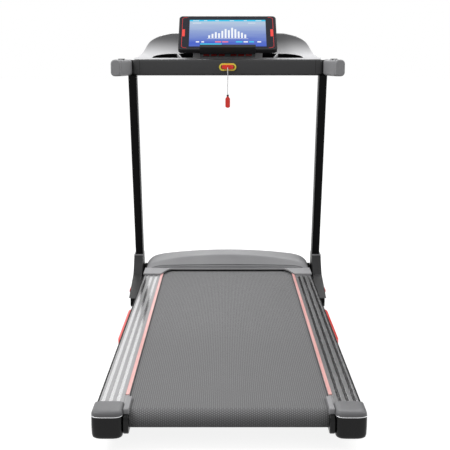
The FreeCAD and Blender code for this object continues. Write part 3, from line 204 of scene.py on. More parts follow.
def gloss_moulded(name, colour, coat=0.0, shine=0.35):
    """Polished black mouldings: smooth and even, with faint handling marks in patches 35 mm across."""
    material, tree, shader, place = start_finish(name, colour, 0.28, coat=coat, shine=shine)
    marks = add(tree, "ShaderNodeTexNoise", {"Vector": place}, {"Scale": 1 / (35 * MM), "Detail": 5.0})
    vary(tree, shader, colour=(marks.outputs["Fac"], shade(colour, 0.9), shade(colour, 1.15)),
         roughness=(marks.outputs["Fac"], 0.2, 0.38))
    return material


def metal(name, colour, roughness, across="X", pitch=1.5):
    """Drawn, turned or brushed metal: fine lines along the way it was worked.
    Real lines are 0.1 mm apart; they are drawn 1.2 to 1.5 mm apart so that they show."""
    material, tree, shader, place = start_finish(name, colour, roughness, metallic=1.0)
    stretch = {"X": (1.0, 0.01, 1.0), "Y": (0.01, 1.0, 1.0), "Z": (1.0, 1.0, 0.01)}[across]
    lines = add(tree, "ShaderNodeMapping", {"Vector": place}, {"Scale": stretch})
    streaks = add(tree, "ShaderNodeTexNoise", {"Vector": lines.outputs["Vector"]},
                  {"Scale": 1 / (pitch * MM), "Detail": 2.0})
    vary(tree, shader, colour=(streaks.outputs["Fac"], shade(colour, 0.95), shade(colour, 1.04)),
         roughness=(streaks.outputs["Fac"], roughness - 0.02, roughness + 0.05),
         relief=(streaks.outputs["Fac"], 0.02, 0.05 * MM))
    return material


def rubber(name, colour):
    """Moulded rubber: dull, with a dusty bloom in patches 20 mm across."""
    material, tree, shader, place = start_finish(name, colour, 0.72)
    bloom = add(tree, "ShaderNodeTexNoise", {"Vector": place}, {"Scale": 1 / (20 * MM), "Detail": 4.0})
    vary(tree, shader, colour=(bloom.outputs["Fac"], colour, shade(colour, 1.5)),
         roughness=(bloom.outputs["Fac"], 0.65, 0.85), relief=(bloom.outputs["Fac"], 0.1, 0.2 * MM))
    return material


def silver_lacquer_painted_dark_top(name, colour, low_z, high_z):
    """Metallic silver lacquer on ABS that fades to graphite towards the console's upper edge.
    The flakes are 0.1 mm in life and drawn 1.2 mm so that they show."""
    material, tree, shader, place = start_finish(name, colour, 0.34, coat=0.3, shine=0.4)
    shader.inputs["Metallic"].default_value = 0.15
    split = add(tree, "ShaderNodeSeparateXYZ", {"Vector": place})
    rise = add(tree, "ShaderNodeMapRange", {"Value": split.outputs["Z"]},
               {"From Min": low_z, "From Max": high_z}, interpolation_type="SMOOTHSTEP")
    flakes = add(tree, "ShaderNodeTexNoise", {"Vector": place}, {"Scale": 1 / (1.2 * MM), "Detail": 1.0})
    # Painted shade: the colour runs from the silver to graphite #4a4a4c up the console, standing in for the
    # darker reflection at its top
    vary(tree, shader, colour=(rise.outputs["Result"], colour, "#4a4a4c"),
         roughness=(flakes.outputs["Fac"], 0.28, 0.42))
    return material


def belt_cover(name, colour, pitch):
    """Black-grey PVC with pressed diamonds: two families of ridges that cross on the belt's own UV,
    which is in metres across and along the belt. Real diamonds are 4 to 5 mm apart; they are drawn 10 mm
    wide and 5 mm long so that their rows show."""
    material, tree, shader, _ = start_finish(name, colour, 0.7, shine=0.08)
    uv = add(tree, "ShaderNodeUVMap", uv_map="belt").outputs["UV"]
    split = add(tree, "ShaderNodeSeparateXYZ", {"Vector": uv})
    waves = []
    for sign in (1, -1):
        lean = add(tree, "ShaderNodeMath", {0: split.outputs["X"]}, {1: sign * 0.5}, operation="MULTIPLY")
        both = add(tree, "ShaderNodeMath", {0: split.outputs["Y"], 1: lean.outputs[0]}, operation="ADD")
        turns = add(tree, "ShaderNodeMath", {0: both.outputs[0]}, {1: 2 * math.pi / pitch},
                    operation="MULTIPLY")
        wave = add(tree, "ShaderNodeMath", {0: turns.outputs[0]}, operation="SINE")
        square = add(tree, "ShaderNodeMath", {0: wave.outputs[0], 1: wave.outputs[0]},
                     operation="MULTIPLY")
        waves.append(square.outputs[0])
    bosses = add(tree, "ShaderNodeMath", {0: waves[0], 1: waves[1]}, operation="MULTIPLY")
    wear = add(tree, "ShaderNodeTexNoise", {"Vector": uv}, {"Scale": 1 / (90 * MM), "Detail": 4.0})
    # Painted highlight and shade: the colour is lighter on the raised diamonds and darker in the hollows
    # between them, beside the real relief of the bump
    vary(tree, shader, colour=(bosses.outputs[0], shade(colour, 0.8), shade(colour, 1.45)),
         roughness=(wear.outputs["Fac"], 0.64, 0.8), relief=(bosses.outputs[0], 0.5, 0.35 * MM))
    return material


def printed_strip(name, colour):
    """Coral translucent PVC strip, printed white below, with fine lines along it."""
    material, tree, shader, place = start_finish(name, colour, 0.35, coat=0.3)
    stretch = add(tree, "ShaderNodeMapping", {"Vector": place}, {"Scale": (1.0, 0.02, 1.0)})
    lines = add(tree, "ShaderNodeTexNoise", {"Vector": stretch.outputs["Vector"]},
                {"Scale": 1 / (2.5 * MM), "Detail": 2.0})
    vary(tree, shader, colour=(lines.outputs["Fac"], shade(colour, 0.94), "#f8c9c5"),
         roughness=(lines.outputs["Fac"], 0.3, 0.45))
    return material


def braid(name, colour, strand=0.9):
    """Braided nylon cord: two families of strands 0.9 mm wide that wind round it both ways."""
    material, tree, shader, place = start_finish(name, colour, 0.6)
    shader.inputs["Sheen Weight"].default_value = 0.3
    waves = []
    for turn in (1, -1):
        lean = add(tree, "ShaderNodeMapping", {"Vector": place},
                   {"Rotation": (0.0, turn * math.radians(40), 0.0)})
        wave = add(tree, "ShaderNodeTexWave", {"Vector": lean.outputs["Vector"]},
                   {"Scale": 0.31 / (strand * MM), "Distortion": 0.3}, bands_direction="X")
        waves.append(wave.outputs["Fac"])
    weave = add(tree, "ShaderNodeMath", {0: waves[0], 1: waves[1]}, operation="MAXIMUM")
    # Painted shade: the colour darkens in the hollows between the strands, beside the real relief of the bump
    vary(tree, shader, colour=(weave.outputs[0], shade(colour, 0.7), colour),
         relief=(weave.outputs[0], 0.5, 0.2 * MM))
    return material


def fibreboard(name):
    """Phenolic-faced fibreboard, with its chips showing on the cut edges."""
    material, tree, shader, place = start_finish(name, "#4a3b30", 0.5)
    chips = add(tree, "ShaderNodeTexVoronoi", {"Vector": place}, {"Scale": 1 / (3 * MM)})
    vary(tree, shader, colour=(chips.outputs["Color"], "#3b2f27", "#6d5845"),
         relief=(chips.outputs["Distance"], 0.2, 0.2 * MM))
    return material


def crossbar_sleeve(name, colour, arm_colour, root, seam):
    """The crossbar's dark moulded sleeve, which gives way to grey arms beyond their root, with a fine dark
    seam: the base colour changes with the distance from the middle."""
    material = moulded(name, colour, gloss=0.48, grain=2.2)
    tree = material.node_tree
    shader = tree.nodes["Principled BSDF"]
    place = add(tree, "ShaderNodeTexCoord").outputs["Object"]
    split = add(tree, "ShaderNodeSeparateXYZ", {"Vector": place})
    away = add(tree, "ShaderNodeMath", {0: split.outputs["X"]}, operation="ABSOLUTE")
    arm = add(tree, "ShaderNodeMapRange", {"Value": away.outputs[0]},
              {"From Min": root, "From Max": root + 1 * MM})
    near = add(tree, "ShaderNodeMath", {0: away.outputs[0]}, {1: seam, 2: 0.8 * MM}, operation="COMPARE")
    body = add(tree, "ShaderNodeMix", {"Factor": arm.outputs["Result"]},
               {6: linear(colour), 7: linear(arm_colour)}, data_type="RGBA")
    lined = add(tree, "ShaderNodeMix", {"Factor": near.outputs[0], 6: body.outputs[2]},
                {7: linear("#0c0c0c")}, data_type="RGBA")
    tree.links.new(lined.outputs[2], shader.inputs["Base Color"])
    return material


def screen_picture(name, low, high, glow, low_z, high_z):
    """The lit display: a plain blue ground that brightens upwards, with faint bands across."""
    material, tree, shader, place = start_finish(name, "#05060a", 0.12)
    split = add(tree, "ShaderNodeSeparateXYZ", {"Vector": place})
    rise = add(tree, "ShaderNodeMapRange", {"Value": split.outputs["Z"]},
               {"From Min": low_z, "From Max": high_z})
    bands = add(tree, "ShaderNodeMapping", {"Vector": place}, {"Scale": (3.0, 0.0, 60.0)})
    haze = add(tree, "ShaderNodeTexNoise", {"Vector": bands.outputs["Vector"]},
               {"Scale": 1.6, "Detail": 3.0})
    level = add(tree, "ShaderNodeMath", {0: haze.outputs["Fac"]}, {1: 0.35, 2: -0.17},
                operation="MULTIPLY_ADD")
    fac = add(tree, "ShaderNodeMath", {0: rise.outputs["Result"], 1: level.outputs[0]}, operation="ADD",
              use_clamp=True)
    mix = add(tree, "ShaderNodeMix", {"Factor": fac.outputs[0]}, {6: linear(low), 7: linear(high)},
              data_type="RGBA")
    tree.links.new(mix.outputs[2], shader.inputs["Emission Color"])
    shader.inputs["Emission Strength"].default_value = glow
    return material


def lit_mark(name, colour, glow):
    """A plain lit mark on the display."""
    material, _, shader, _ = start_finish(name, shade(colour, 0.3), 0.25)
    shader.inputs["Emission Color"].default_value = linear(colour)
    shader.inputs["Emission Strength"].default_value = glow
    return material


# Meshes

def new_piece(name, points, faces, body, slot_name, *finishes, smooth=True):
    """A mesh object at the origin that rides on a CAD body, with its finishes and material slot."""
    mesh = bpy.data.meshes.new(name)
    mesh.from_pydata(np.asarray(points, float).reshape(-1, 3).tolist(), [], faces)
    mesh.update()
    for finish in finishes:
        mesh.materials.append(finish)
    mesh.polygons.foreach_set("use_smooth", np.full(len(mesh.polygons), smooth))
    piece = bpy.data.objects.new(name, mesh)
    bpy.context.scene.collection.objects.link(piece)
    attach(piece, body)
    return piece


def grid_faces(rows, columns, close_rows=False, close_columns=False, start=0):
    """Quads between neighbours of a grid of rows by columns, optionally joined end to end."""
    i = np.arange(rows if close_rows else rows - 1)[:, None]
    j = np.arange(columns if close_columns else columns - 1)[None, :]
    i2, j2 = (i + 1) % rows, (j + 1) % columns
    quads = np.stack([i * columns + j, i * columns + j2, i2 * columns + j2, i2 * columns + j], axis=-1)
    return (quads.reshape(-1, 4) + start).tolist()


def rounded(half_wide, half_tall, radius, per_corner=6):
    """A rectangle with round corners, as points anticlockwise round (0, 0): four quarter circles, each
    centred a radius in from its corner."""
    turn = np.linspace(0, math.pi / 2, per_corner)
    starts = np.arange(4)[:, None] * math.pi / 2
    angle = (starts + turn[None, :]).ravel()
    signs = np.repeat([(1, 1), (-1, 1), (-1, -1), (1, -1)], per_corner, axis=0)
    centres = signs * (half_wide - radius, half_tall - radius)
    return centres + radius * np.stack([np.cos(angle), np.sin(angle)], axis=-1)


def tube_of(sections):
    """Points and faces of a closed skin through rings of equal length, with a cap at each end."""
    sections = np.asarray(sections, float)
    count, around = sections.shape[:2]
    faces = grid_faces(count, around, close_columns=True)
    faces.append(list(range(around))[::-1])
    faces.append([(count - 1) * around + k for k in range(around)])
    return sections.reshape(-1, 3), faces


def face_outwards(piece):
    """Turns a closed mesh right side out when the volume under its faces comes out negative."""
    mesh = piece.data
    mesh.calc_loop_triangles()
    corners = np.zeros(len(mesh.loop_triangles) * 3, np.int32)
    mesh.loop_triangles.foreach_get("vertices", corners)
    points = np.zeros(len(mesh.vertices) * 3)
    mesh.vertices.foreach_get("co", points)
    a, b, c = points.reshape(-1, 3)[corners.reshape(-1, 3)].transpose(1, 0, 2)
    if np.einsum("ij,ij->i", a, np.cross(b, c)).sum() < 0:
        mesh.flip_normals()
    return piece


def skin(name, rings, body, slot_name, finish, sharp=None, smooth=True):
    """A closed piece through rings, right side out; edges over sharp degrees stay crisp."""
    piece = face_outwards(new_piece(name, *tube_of(rings), body, slot_name, FINISHES[finish], smooth=smooth))
    if sharp:
        piece.data.set_sharp_from_angle(angle=math.radians(sharp))
    return piece


def rounded_block(low, high, radius, edge, axis, steps=4):
    """A block between two corners as rings along one axis: each ring is a rectangle with round corners,
    and the rings at both ends draw in along a quarter circle."""
    low, high = np.asarray(low, float), np.asarray(high, float)
    middle, half = (low + high) / 2, (high - low) / 2
    first, second = [k for k in range(3) if k != axis]
    turn = np.linspace(0, math.pi / 2, steps)
    reach = half[axis] - edge + edge * np.sin(turn)
    draw_in = edge * (1 - np.cos(turn))
    rings = []
    places, insets = np.concatenate([-reach[::-1], reach]), np.concatenate([draw_in[::-1], draw_in])
    for place, inset in zip(places, insets):
        ring = rounded(half[first] - inset, half[second] - inset, max(radius - inset, radius * 0.3))
        points = np.zeros((len(ring), 3))
        points[:, first], points[:, second] = ring.T
        points[:, axis] = place
        rings.append(points + middle)
    return np.array(rings)


SIDES = ((1, "right"), (-1, "left"))

# Frame in which the console leans: u across, v up its slope, n out of its face

LEAN = math.radians(50)
PANEL_Y = 585.3 * MM
PANEL_Z = 904 * MM


def lean_to(u, v, n):
    """Places on the leaning console as points of the model's own frame."""
    u, v, n = np.broadcast_arrays(np.asarray(u, float), v, n)
    y = PANEL_Y + v * math.sin(LEAN) - n * math.cos(LEAN)
    z = PANEL_Z + v * math.cos(LEAN) + n * math.sin(LEAN)
    return np.stack([u, y, z], axis=-1)


FINISHES = {}


def make_finishes(scene):
    """Every finish of the treadmill, once, from the colours in the sidebar."""
    paint, belt, screen = scene.treadmill_paint, scene.treadmill_belt, scene.treadmill_screen
    screen_low, screen_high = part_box("display_glass")
    console_low, console_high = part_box("console_shell")
    FINISHES.update({
        "black_steel": powder_coat("satin_powder_coat", paint.steel),
        "deck_steel": powder_coat("matt_powder_coat", "#1b1b1d", 0.5),
        "rail_aluminium": metal("anodised_aluminium", "#969697", 0.34, across="Y", pitch=1.2),
        "groove_aluminium": metal("polished_groove_aluminium", "#dededf", 0.17, across="Y", pitch=1.2),
        "skirt_black": moulded("black_rail_skirt", "#101011", 0.5, shine=0.06),
        "line_silver": metal("bright_joint_line", "#d8d8da", 0.25, across="X"),
        "bright_steel": metal("turned_steel", "#c4c4c8", 0.28, across="X", pitch=1.5),
        "black_abs": moulded("black_abs", "#1d1d1f", 0.42),
        "bar_abs": crossbar_sleeve("crossbar_sleeve", paint.bar, paint.grey, 345 * MM, 318 * MM),
        "grey_abs": moulded("grey_abs", paint.grey, 0.5),
        # The console's silver darkens to graphite towards its top: painted shade
        "silver_abs": silver_lacquer_painted_dark_top("silver_lacquer_painted_dark_top", paint.silver, console_low.z + 58 * MM,
                                     console_high.z + 4 * MM),
        "hood_abs": moulded("hood_abs", paint.hood, gloss=0.5, grain=2.4, depth=0.2),
        "belt_pvc": belt_cover("embossed_pvc", belt.colour, belt.pitch),
        "board_laminate": fibreboard("phenolic_faced_fibreboard"),
        "rubber": rubber("moulded_rubber", "#161616"),
        "red_plastic": moulded("red_abs", paint.red, 0.3, depth=0.08, coat=0.4),
        "strip_red": printed_strip("printed_coral_pvc", paint.strip),
        "yellow_plastic": moulded("yellow_abs", "#ffe04a", 0.3, depth=0.08, coat=0.4),
        "display_glass": gloss_moulded("navy_display_glass", "#0b0c1d", shine=0.25),
        "lit_picture": screen_picture("lit_display", screen.low, screen.high, screen.glow,
                                      screen_low.z + 20 * MM, screen_high.z - 10 * MM),
        "lit_cyan": lit_mark("cyan_pixels", "#1cc4ee", screen.glow),
        "lit_white": lit_mark("white_pixels", "#f2f6fb", screen.glow),
        "lit_pink": lit_mark("pink_pixels", "#f0728c", screen.glow),
        "lit_red": lit_mark("red_pixels", "#f5382e", screen.glow),
        "key_plastic": moulded("printed_keys", "#e0463c", 0.4, depth=0.1),
        "cord_nylon": braid("braided_nylon", "#f4f4f6"),
        "circuit_board": metal("mill_finish_aluminium", "#a9abac", 0.45, across="X"),
        "liner_black": moulded("tray_liner", "#0e0e0f", 0.5),
        "boot_abs": moulded("boot_abs", "#2a2a2b", 0.42),
        "strip_abs": moulded("key_strip_abs", "#a9a9ac", 0.4),
        "cap_abs": gloss_moulded("lacquered_black_abs", "#0b0b0c", shine=0.22),
        "lid_abs": moulded("lid_grey_abs", "#727274", 0.4),
    })


# CAD nodes whose finish differs from that of their material slot
NODE_FINISHES = {"handlebar": "bar_abs", "boots": "boot_abs", "key_panel": "strip_abs"}


class TREADMILL_OT_finishes(bpy.types.Operator):
    """Make the finishes and put each on the CAD nodes of its material slot"""

    bl_idname = "treadmill.finishes"
    bl_label = "Finishes"

    def execute(self, context):
        make_finishes(context.scene)
        for part in frame["record"]["subparts"]:
            mesh = frame["nodes"][part["node"]].data
            mesh.materials.clear()
            mesh.materials.append(FINISHES[NODE_FINISHES.get(part["node"], part["material_slot"])])
        return {"FINISHED"}


def seen_directly(tree, otherwise, level):
    """A strength for what the camera, mirrors and glass see, and another for the light it gives."""
    path = add(tree, "ShaderNodeLightPath")
    mirrors = add(tree, "ShaderNodeMath", {0: path.outputs["Is Glossy Ray"],
                                           1: path.outputs["Is Transmission Ray"]}, operation="MAXIMUM")
    seen = add(tree, "ShaderNodeMath", {0: path.outputs["Is Camera Ray"], 1: mirrors.outputs[0]},
               operation="MAXIMUM")
    return add(tree, "ShaderNodeMapRange", {"Value": seen.outputs[0]},
               {"To Min": otherwise, "To Max": level}).outputs["Result"]


class TREADMILL_OT_stage(bpy.types.Operator):
    """Make the camera, the soft studio light and the pale floor"""

    bl_idname = "treadmill.stage"
    bl_label = "Camera, light and floor"

    def execute(self, context):
        scene = context.scene
        stage = scene.treadmill_stage
        camera = bpy.data.cameras.new("camera")
        camera.lens = stage.lens
        camera.sensor_width = 36
        camera.sensor_fit = "HORIZONTAL"
        camera.shift_x = stage.side
        camera.clip_end = 50
        holder = bpy.data.objects.new("camera", camera)
        holder.location = stage.eye
        holder.rotation_euler = (math.pi / 2 - stage.pitch, 0, 0)
        scene.collection.objects.link(holder)
        scene.camera = holder

        reach = 30
        corners = [(-reach, -reach, 0), (reach, -reach, 0), (reach, reach, 0), (-reach, reach, 0)]
        mesh = bpy.data.meshes.new("floor")
        mesh.from_pydata(corners, [], [[0, 1, 2, 3]])
        floor = bpy.data.objects.new("floor", mesh)
        scene.collection.objects.link(floor)
        material, tree, shader, _ = start_finish("studio_floor", "#989898", 0.9, shine=0.0)
        shader.inputs["Emission Color"].default_value = linear("#ffffff")
        tree.links.new(seen_directly(tree, 0.0, FLOOR_GLOW), shader.inputs["Emission Strength"])
        mesh.materials.append(material)

        for name, place, size, power, colour in LAMPS:
            lamp = bpy.data.lights.new(name, "AREA")
            lamp.shape = "RECTANGLE"
            lamp.size, lamp.size_y = size
            lamp.energy = power
            lamp.color = linear(colour)[:3]
            stand = bpy.data.objects.new(name, lamp)
            stand.location = place
            aim = LIGHT_AIM - stand.location
            stand.rotation_euler = aim.to_track_quat("-Z", "Y").to_euler()
            scene.collection.objects.link(stand)

        flag_mesh = bpy.data.meshes.new("reflected_card")
        flag_mesh.from_pydata(DARK_CARD, [], [[0, 1, 2, 3]])
        flag = bpy.data.objects.new("reflected_card", flag_mesh)
        scene.collection.objects.link(flag)
        flag_mesh.materials.append(start_finish("black_studio_card", "#050505", 1.0, shine=0.0)[0])
        flag.visible_camera = flag.visible_diffuse = flag.visible_shadow = False

        world = bpy.data.worlds.new("studio")
        scene.world = world
        world.use_nodes = True
        back = world.node_tree.nodes["Background"]
        heading = add(world.node_tree, "ShaderNodeTexCoord").outputs["Generated"]
        height = add(world.node_tree, "ShaderNodeSeparateXYZ", {"Vector": heading}).outputs["Z"]
        overhead = add(world.node_tree, "ShaderNodeMapRange", {"Value": height},
                       {"From Min": 0.0, "From Max": 0.8, "To Min": HORIZON_LIGHT, "To Max": OVERHEAD_LIGHT})
        strength = seen_directly(world.node_tree, 0.0, 1.0)
        world.node_tree.links.new(overhead.outputs["Result"], strength.node.inputs["To Min"])
        world.node_tree.links.new(strength, back.inputs["Strength"])
        back.inputs["Color"].default_value = linear("#ffffff")
        scene.view_settings.view_transform = "Standard"
        return {"FINISHED"}


# Light: strengths of the world level with the horizon and overhead, and of the floor as it is seen
LIGHT_AIM = Vector((0, 0, 0.45))
HORIZON_LIGHT = 0.2
OVERHEAD_LIGHT = 0.72
FLOOR_GLOW = 0.87
# A dark card far ahead on the right that shows only in reflections, so that this side's metal darkens
DARK_CARD = [(0.34, 3.0, 0.0), (3.4, 3.0, 0.0), (3.4, 3.0, 3.0), (0.34, 3.0, 3.0)]
# Each lamp's name, place and size in metres, power in watts and colour
LAMPS = (
    ("key", (-2.3, -0.5, 3.2), (2.2, 1.6), 62, "#ffffff"),
    ("fill", (2.5, 0.1, 2.6), (1.6, 1.6), 20, "#ffffff"),
    ("rear", (0.4, 3.0, 2.6), (2.4, 1.2), 45, "#ffffff"),
)


class TREADMILL_OT_cord(bpy.types.Operator):
    """Make the safety cord as a free hanging braided cord"""

    bl_idname = "treadmill.cord"
    bl_label = "Safety cord"

    def execute(self, context):
        points = np.array(CORD_POINTS) * MM
        curve = bpy.data.curves.new("safety_cord_braid", "CURVE")
        curve.dimensions = "3D"
        curve.bevel_depth = CORD_RADIUS
        curve.bevel_resolution = 5
        curve.resolution_u = 10
        curve.use_fill_caps = True
        spline = curve.splines.new("NURBS")
        spline.points.add(len(points) - 1)
        spline.points.foreach_set("co", np.column_stack([points, np.ones(len(points))]).ravel())
        spline.order_u = 3
        spline.use_endpoint_u = True
        curve.materials.append(FINISHES["cord_nylon"])
        cord = bpy.data.objects.new("safety_cord_braid", curve)
        context.scene.collection.objects.link(cord)
        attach(cord, "safety_key")
        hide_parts("safety_cord")
        return {"FINISHED"}


CORD_RADIUS = 1.3 * MM
# The cord's route in mm: out of the key, over its lip and down to the bead with a slight wave
CORD_POINTS = (
    (0.0, 524.0, 878.0),
    (0.0, 518.0, 877.0),
    (0.3, 512.5, 870.0),
    (0.0, 511.0, 857.0),
    (0.6, 510.4, 835.0),
    (-0.4, 510.8, 808.0),
    (0.0, 510.6, 782.0),
)


# The running deck

ROLLER_Z = 75.5 * MM
ROLLER_RADIUS = 22.7 * MM
BELT_THICK = 2.0 * MM
BELT_HALF = 246 * MM
FRONT_ROLLER = 668 * MM
REAR_ROLLER = -745 * MM
BELT_GAP = 0.1 * MM
BELT_EDGE = 1 * MM
EDGE_DROP = 0.6 * MM
STRAIGHT_STEP = 72 * MM


def belt_loop(radius):
    """Points (y, z) round two equal rollers: half a circle at each end joined by straight runs."""
    turn = np.linspace(-math.pi / 2, math.pi / 2, 15)
    front = np.stack([FRONT_ROLLER + radius * np.cos(turn), ROLLER_Z + radius * np.sin(turn)], axis=-1)
    rear = np.stack([REAR_ROLLER - radius * np.cos(turn), ROLLER_Z - radius * np.sin(turn)], axis=-1)
    count = int((FRONT_ROLLER - REAR_ROLLER) / STRAIGHT_STEP)
    back = np.linspace(FRONT_ROLLER, REAR_ROLLER, count + 2)[1:-1]
    top = np.stack([back, np.full(count, ROLLER_Z + radius)], axis=-1)
    low = np.stack([back[::-1], np.full(count, ROLLER_Z - radius)], axis=-1)
    return np.concatenate([front, top, rear, low])


class TREADMILL_OT_belt(bpy.types.Operator):
    """Make the running belt as a loop with its own map in metres, so that the emboss follows it"""

    bl_idname = "treadmill.belt"
    bl_label = "Running belt"

    def execute(self, context):
        outer = belt_loop(ROLLER_RADIUS + BELT_THICK)
        inner = belt_loop(ROLLER_RADIUS + BELT_GAP)
        runs = len(outer)
        across = np.array([-BELT_HALF, -BELT_HALF + BELT_EDGE, 0, BELT_HALF - BELT_EDGE, BELT_HALF])
        drop = np.array([1, 0, 0, 0, 1]) * EDGE_DROP
        shift = (outer - inner) / BELT_THICK
        rings = [np.column_stack([np.full(runs, x), *(outer - shift * d).T]) for x, d in zip(across, drop)]
        rings += [np.column_stack([np.full(runs, x), *inner.T]) for x in (BELT_HALF, -BELT_HALF)]
        points = np.stack(rings)
        faces = grid_faces(len(rings), runs, close_rows=True, close_columns=True)
        belt = new_piece("running_belt_cover", points, faces, "deck", "belt_pvc", FINISHES["belt_pvc"])
        # The map: metres across and along, and the last quads of the loop end at its full length
        steps = np.linalg.norm(np.roll(outer, -1, axis=0) - outer, axis=1)
        along = np.concatenate([[0], np.cumsum(steps)])
        mesh = belt.data
        corners = np.zeros(len(mesh.loops), np.int32)
        mesh.loops.foreach_get("vertex_index", corners)
        ring, place = corners // runs, corners % runs
        wide = np.concatenate([across, [BELT_HALF, -BELT_HALF]])[ring]
        length = along[place]
        faces_of = np.repeat(np.arange(len(mesh.polygons)), 4)
        lows = np.minimum.reduceat(place, np.arange(0, len(place), 4))[faces_of]
        highs = np.maximum.reduceat(place, np.arange(0, len(place), 4))[faces_of]
        wraps = (highs - lows > 1) & (place == 0)
        length = np.where(wraps, along[-1], length)
        uv = mesh.uv_layers.new(name="belt")
        uv.data.foreach_set("uv", np.column_stack([wide, length]).ravel())
        face_outwards(belt)
        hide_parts("running_belt")
        return {"FINISHED"}


def swept(name, outline, kinds, box, slot_name, *finishes):
    """A profile in X and Z carried straight along the deck through a box, capped at both ends; kinds
    picks each side's finish."""
    sections = [np.column_stack([outline[:, 0], np.full(len(outline), y), outline[:, 1]])
                for y in (box[0].y, box[1].y)]
    piece = new_piece(name, *tube_of(sections), "deck", slot_name, *finishes, smooth=False)
    piece.data.polygons.foreach_set("material_index", [*kinds, kinds[0], kinds[0]])
    return face_outwards(piece)


RAIL_OUTER = 318.0 * MM
RAIL_INNER = 244.0 * MM
RAIL_TOP = 106.0 * MM
RAIL_FOOT = 40.0 * MM
SKIRT_TOP = 102.0 * MM
SKIRT_THICK = 4.0 * MM
FIRST_GROOVE = 308.0 * MM
GROOVE_WIDE = 9.0 * MM
GROOVE_DEEP = 0.6 * MM
STRIP_SEAT = 104.8 * MM
STRIP_EDGES = (244.5 * MM, 253.5 * MM)
STRIP_TOP = 106.2 * MM
TRIM_DEEP = 5.5 * MM
TRIM_TALL = 15 * MM
TRIM_TAPER = 30 * MM


def rail_profile():
    """The foot rail's outline across, with a finish number for each side: 0 satin rib, 1 polished groove,
    2 black skirt. Each groove's floor falls outwards by 4 degrees, so it mirrors the light beside it."""
    outline = [(RAIL_OUTER, RAIL_FOOT), (RAIL_OUTER, SKIRT_TOP), (RAIL_OUTER - 1.4 * MM, RAIL_TOP - 1 * MM),
               (RAIL_OUTER - 5.5 * MM, RAIL_TOP)]
    kinds = [2, 2, 2, 0]
    for edge in FIRST_GROOVE - 2 * GROOVE_WIDE * np.arange(3):
        outline += [(edge, RAIL_TOP), (edge - 0.2 * MM, RAIL_TOP - GROOVE_DEEP),
                    (edge - GROOVE_WIDE, RAIL_TOP)]
        kinds += [1, 1, 0]
    seat = RAIL_INNER + 10 * MM
    outline += [(seat, RAIL_TOP), (seat, STRIP_SEAT), (RAIL_INNER, STRIP_SEAT), (RAIL_INNER, SKIRT_TOP),
                (RAIL_OUTER - SKIRT_THICK, SKIRT_TOP), (RAIL_OUTER - SKIRT_THICK, RAIL_FOOT)]
    kinds += [0, 0, 0, 2, 2, 2]
    return np.array(outline), kinds


def strip_profile():
    """The coral strip's outline across: a flat band whose upper edges are broken by 0.3 mm."""
    inner, outer = STRIP_EDGES
    broken = 0.3 * MM
    return np.array([(inner, STRIP_SEAT), (outer, STRIP_SEAT), (outer, STRIP_TOP - broken),
                     (outer - broken, STRIP_TOP), (inner + 0.4 * MM, STRIP_TOP),
                     (inner, STRIP_TOP - broken)])


def trim_rings(side, low, high):
    """The red trim on a skirt: a rounded band whose depth and height swell along a quarter circle from
    either end."""
    stations = np.linspace(low.y, high.y, 41)
    along = np.clip(np.minimum(stations - low.y, high.y - stations) / TRIM_TAPER, 0, 1)
    outline = rounded(TRIM_DEEP, TRIM_TALL, 4.5 * MM, 5)
    return [np.column_stack([side * (RAIL_OUTER + TRIM_DEEP * swell + outline[:, 0] * max(swell, 0.02)),
                             np.full(len(outline), y),
                             (low.z + high.z) / 2 + outline[:, 1] * (0.7 + 0.3 * swell)])
            for y, swell in zip(stations, np.sqrt(1 - (1 - along) ** 2))]


class TREADMILL_OT_rails(bpy.types.Operator):
    """Make both grooved foot rails, their coral strips and the red trims on their skirts"""

    bl_idname = "treadmill.rails"
    bl_label = "Foot rails"

    def execute(self, context):
        outline, kinds = rail_profile()
        metals = [FINISHES[name] for name in ("rail_aluminium", "groove_aluminium", "skirt_black")]
        strip = strip_profile()
        for side, word in SIDES:
            rail = swept("foot_rail_" + word, outline * (side, 1), kinds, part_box("side_rails"),
                         "rail_aluminium", *metals)
            coral = swept("coral_strip_" + word, strip * (side, 1), [0] * len(strip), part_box("rail_strips"),
                          "strip_red", FINISHES["strip_red"])
            trim = skin("red_side_trim_" + word, trim_rings(side, *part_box("side_trims")), "deck",
                        "red_plastic", "red_plastic")
            if side > 0:
                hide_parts("side_rails")
                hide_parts("rail_strips")
                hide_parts("side_trims")
        return {"FINISHED"}


# Rear end caps

CAP_MIDDLE = 286.5 * MM
CAP_HALF = 37.5 * MM
CAP_REAR = -800 * MM
CAP_BULGE = 24 * MM
WINDOW_Z = 70 * MM
WINDOW_HALF = np.array([9, 19]) * MM
WINDOW_RIM = 1.4 * MM
WINDOW_DEEP = 3 * MM

# Levels of the cap's three pieces in mm: height, how far the ring draws in, and its length from the rear
CAP_LEVELS = ((40, 9, 60), (41.2, 5, 61), (44, 2, 62), (50, 0.6, 62), (70, 0, 62), (90, 0.2, 62),
              (94.5, 0.8, 62))
LINE_LEVELS = ((94.5, 0.9, 62), (94.7, 0.05, 62), (96.1, 0.05, 62), (96.3, 0.9, 62))
LID_LEVELS = ((96.3, 0.6, 70), (100.5, 0.6, 70), (104, 1.6, 70), (106.8, 4, 70), (108.2, 8, 70),
              (108.9, 15, 70), (109.0, 26, 70))


def cap_rings(levels, side):
    """Levels of an end cap as rings seen from above: a flat front edge, straight sides and a rear that
    swells backwards as a flat superellipse."""
    angle = np.linspace(0, math.pi, 41)
    wide = np.sign(np.cos(angle)) * np.abs(np.cos(angle)) ** 0.55
    rings = []
    for z, inset, length in np.array(levels) * MM:
        half = CAP_HALF - inset
        rear = np.column_stack([half * wide, CAP_REAR + inset + CAP_BULGE * (1 - np.sin(angle) ** 0.62)])
        ring = np.vstack([rear, [[-half, CAP_REAR + length], [half, CAP_REAR + length]]])
        rings.append(np.column_stack([side * (CAP_MIDDLE + ring[:, 0]), ring[:, 1], np.full(len(ring), z)]))
    return rings


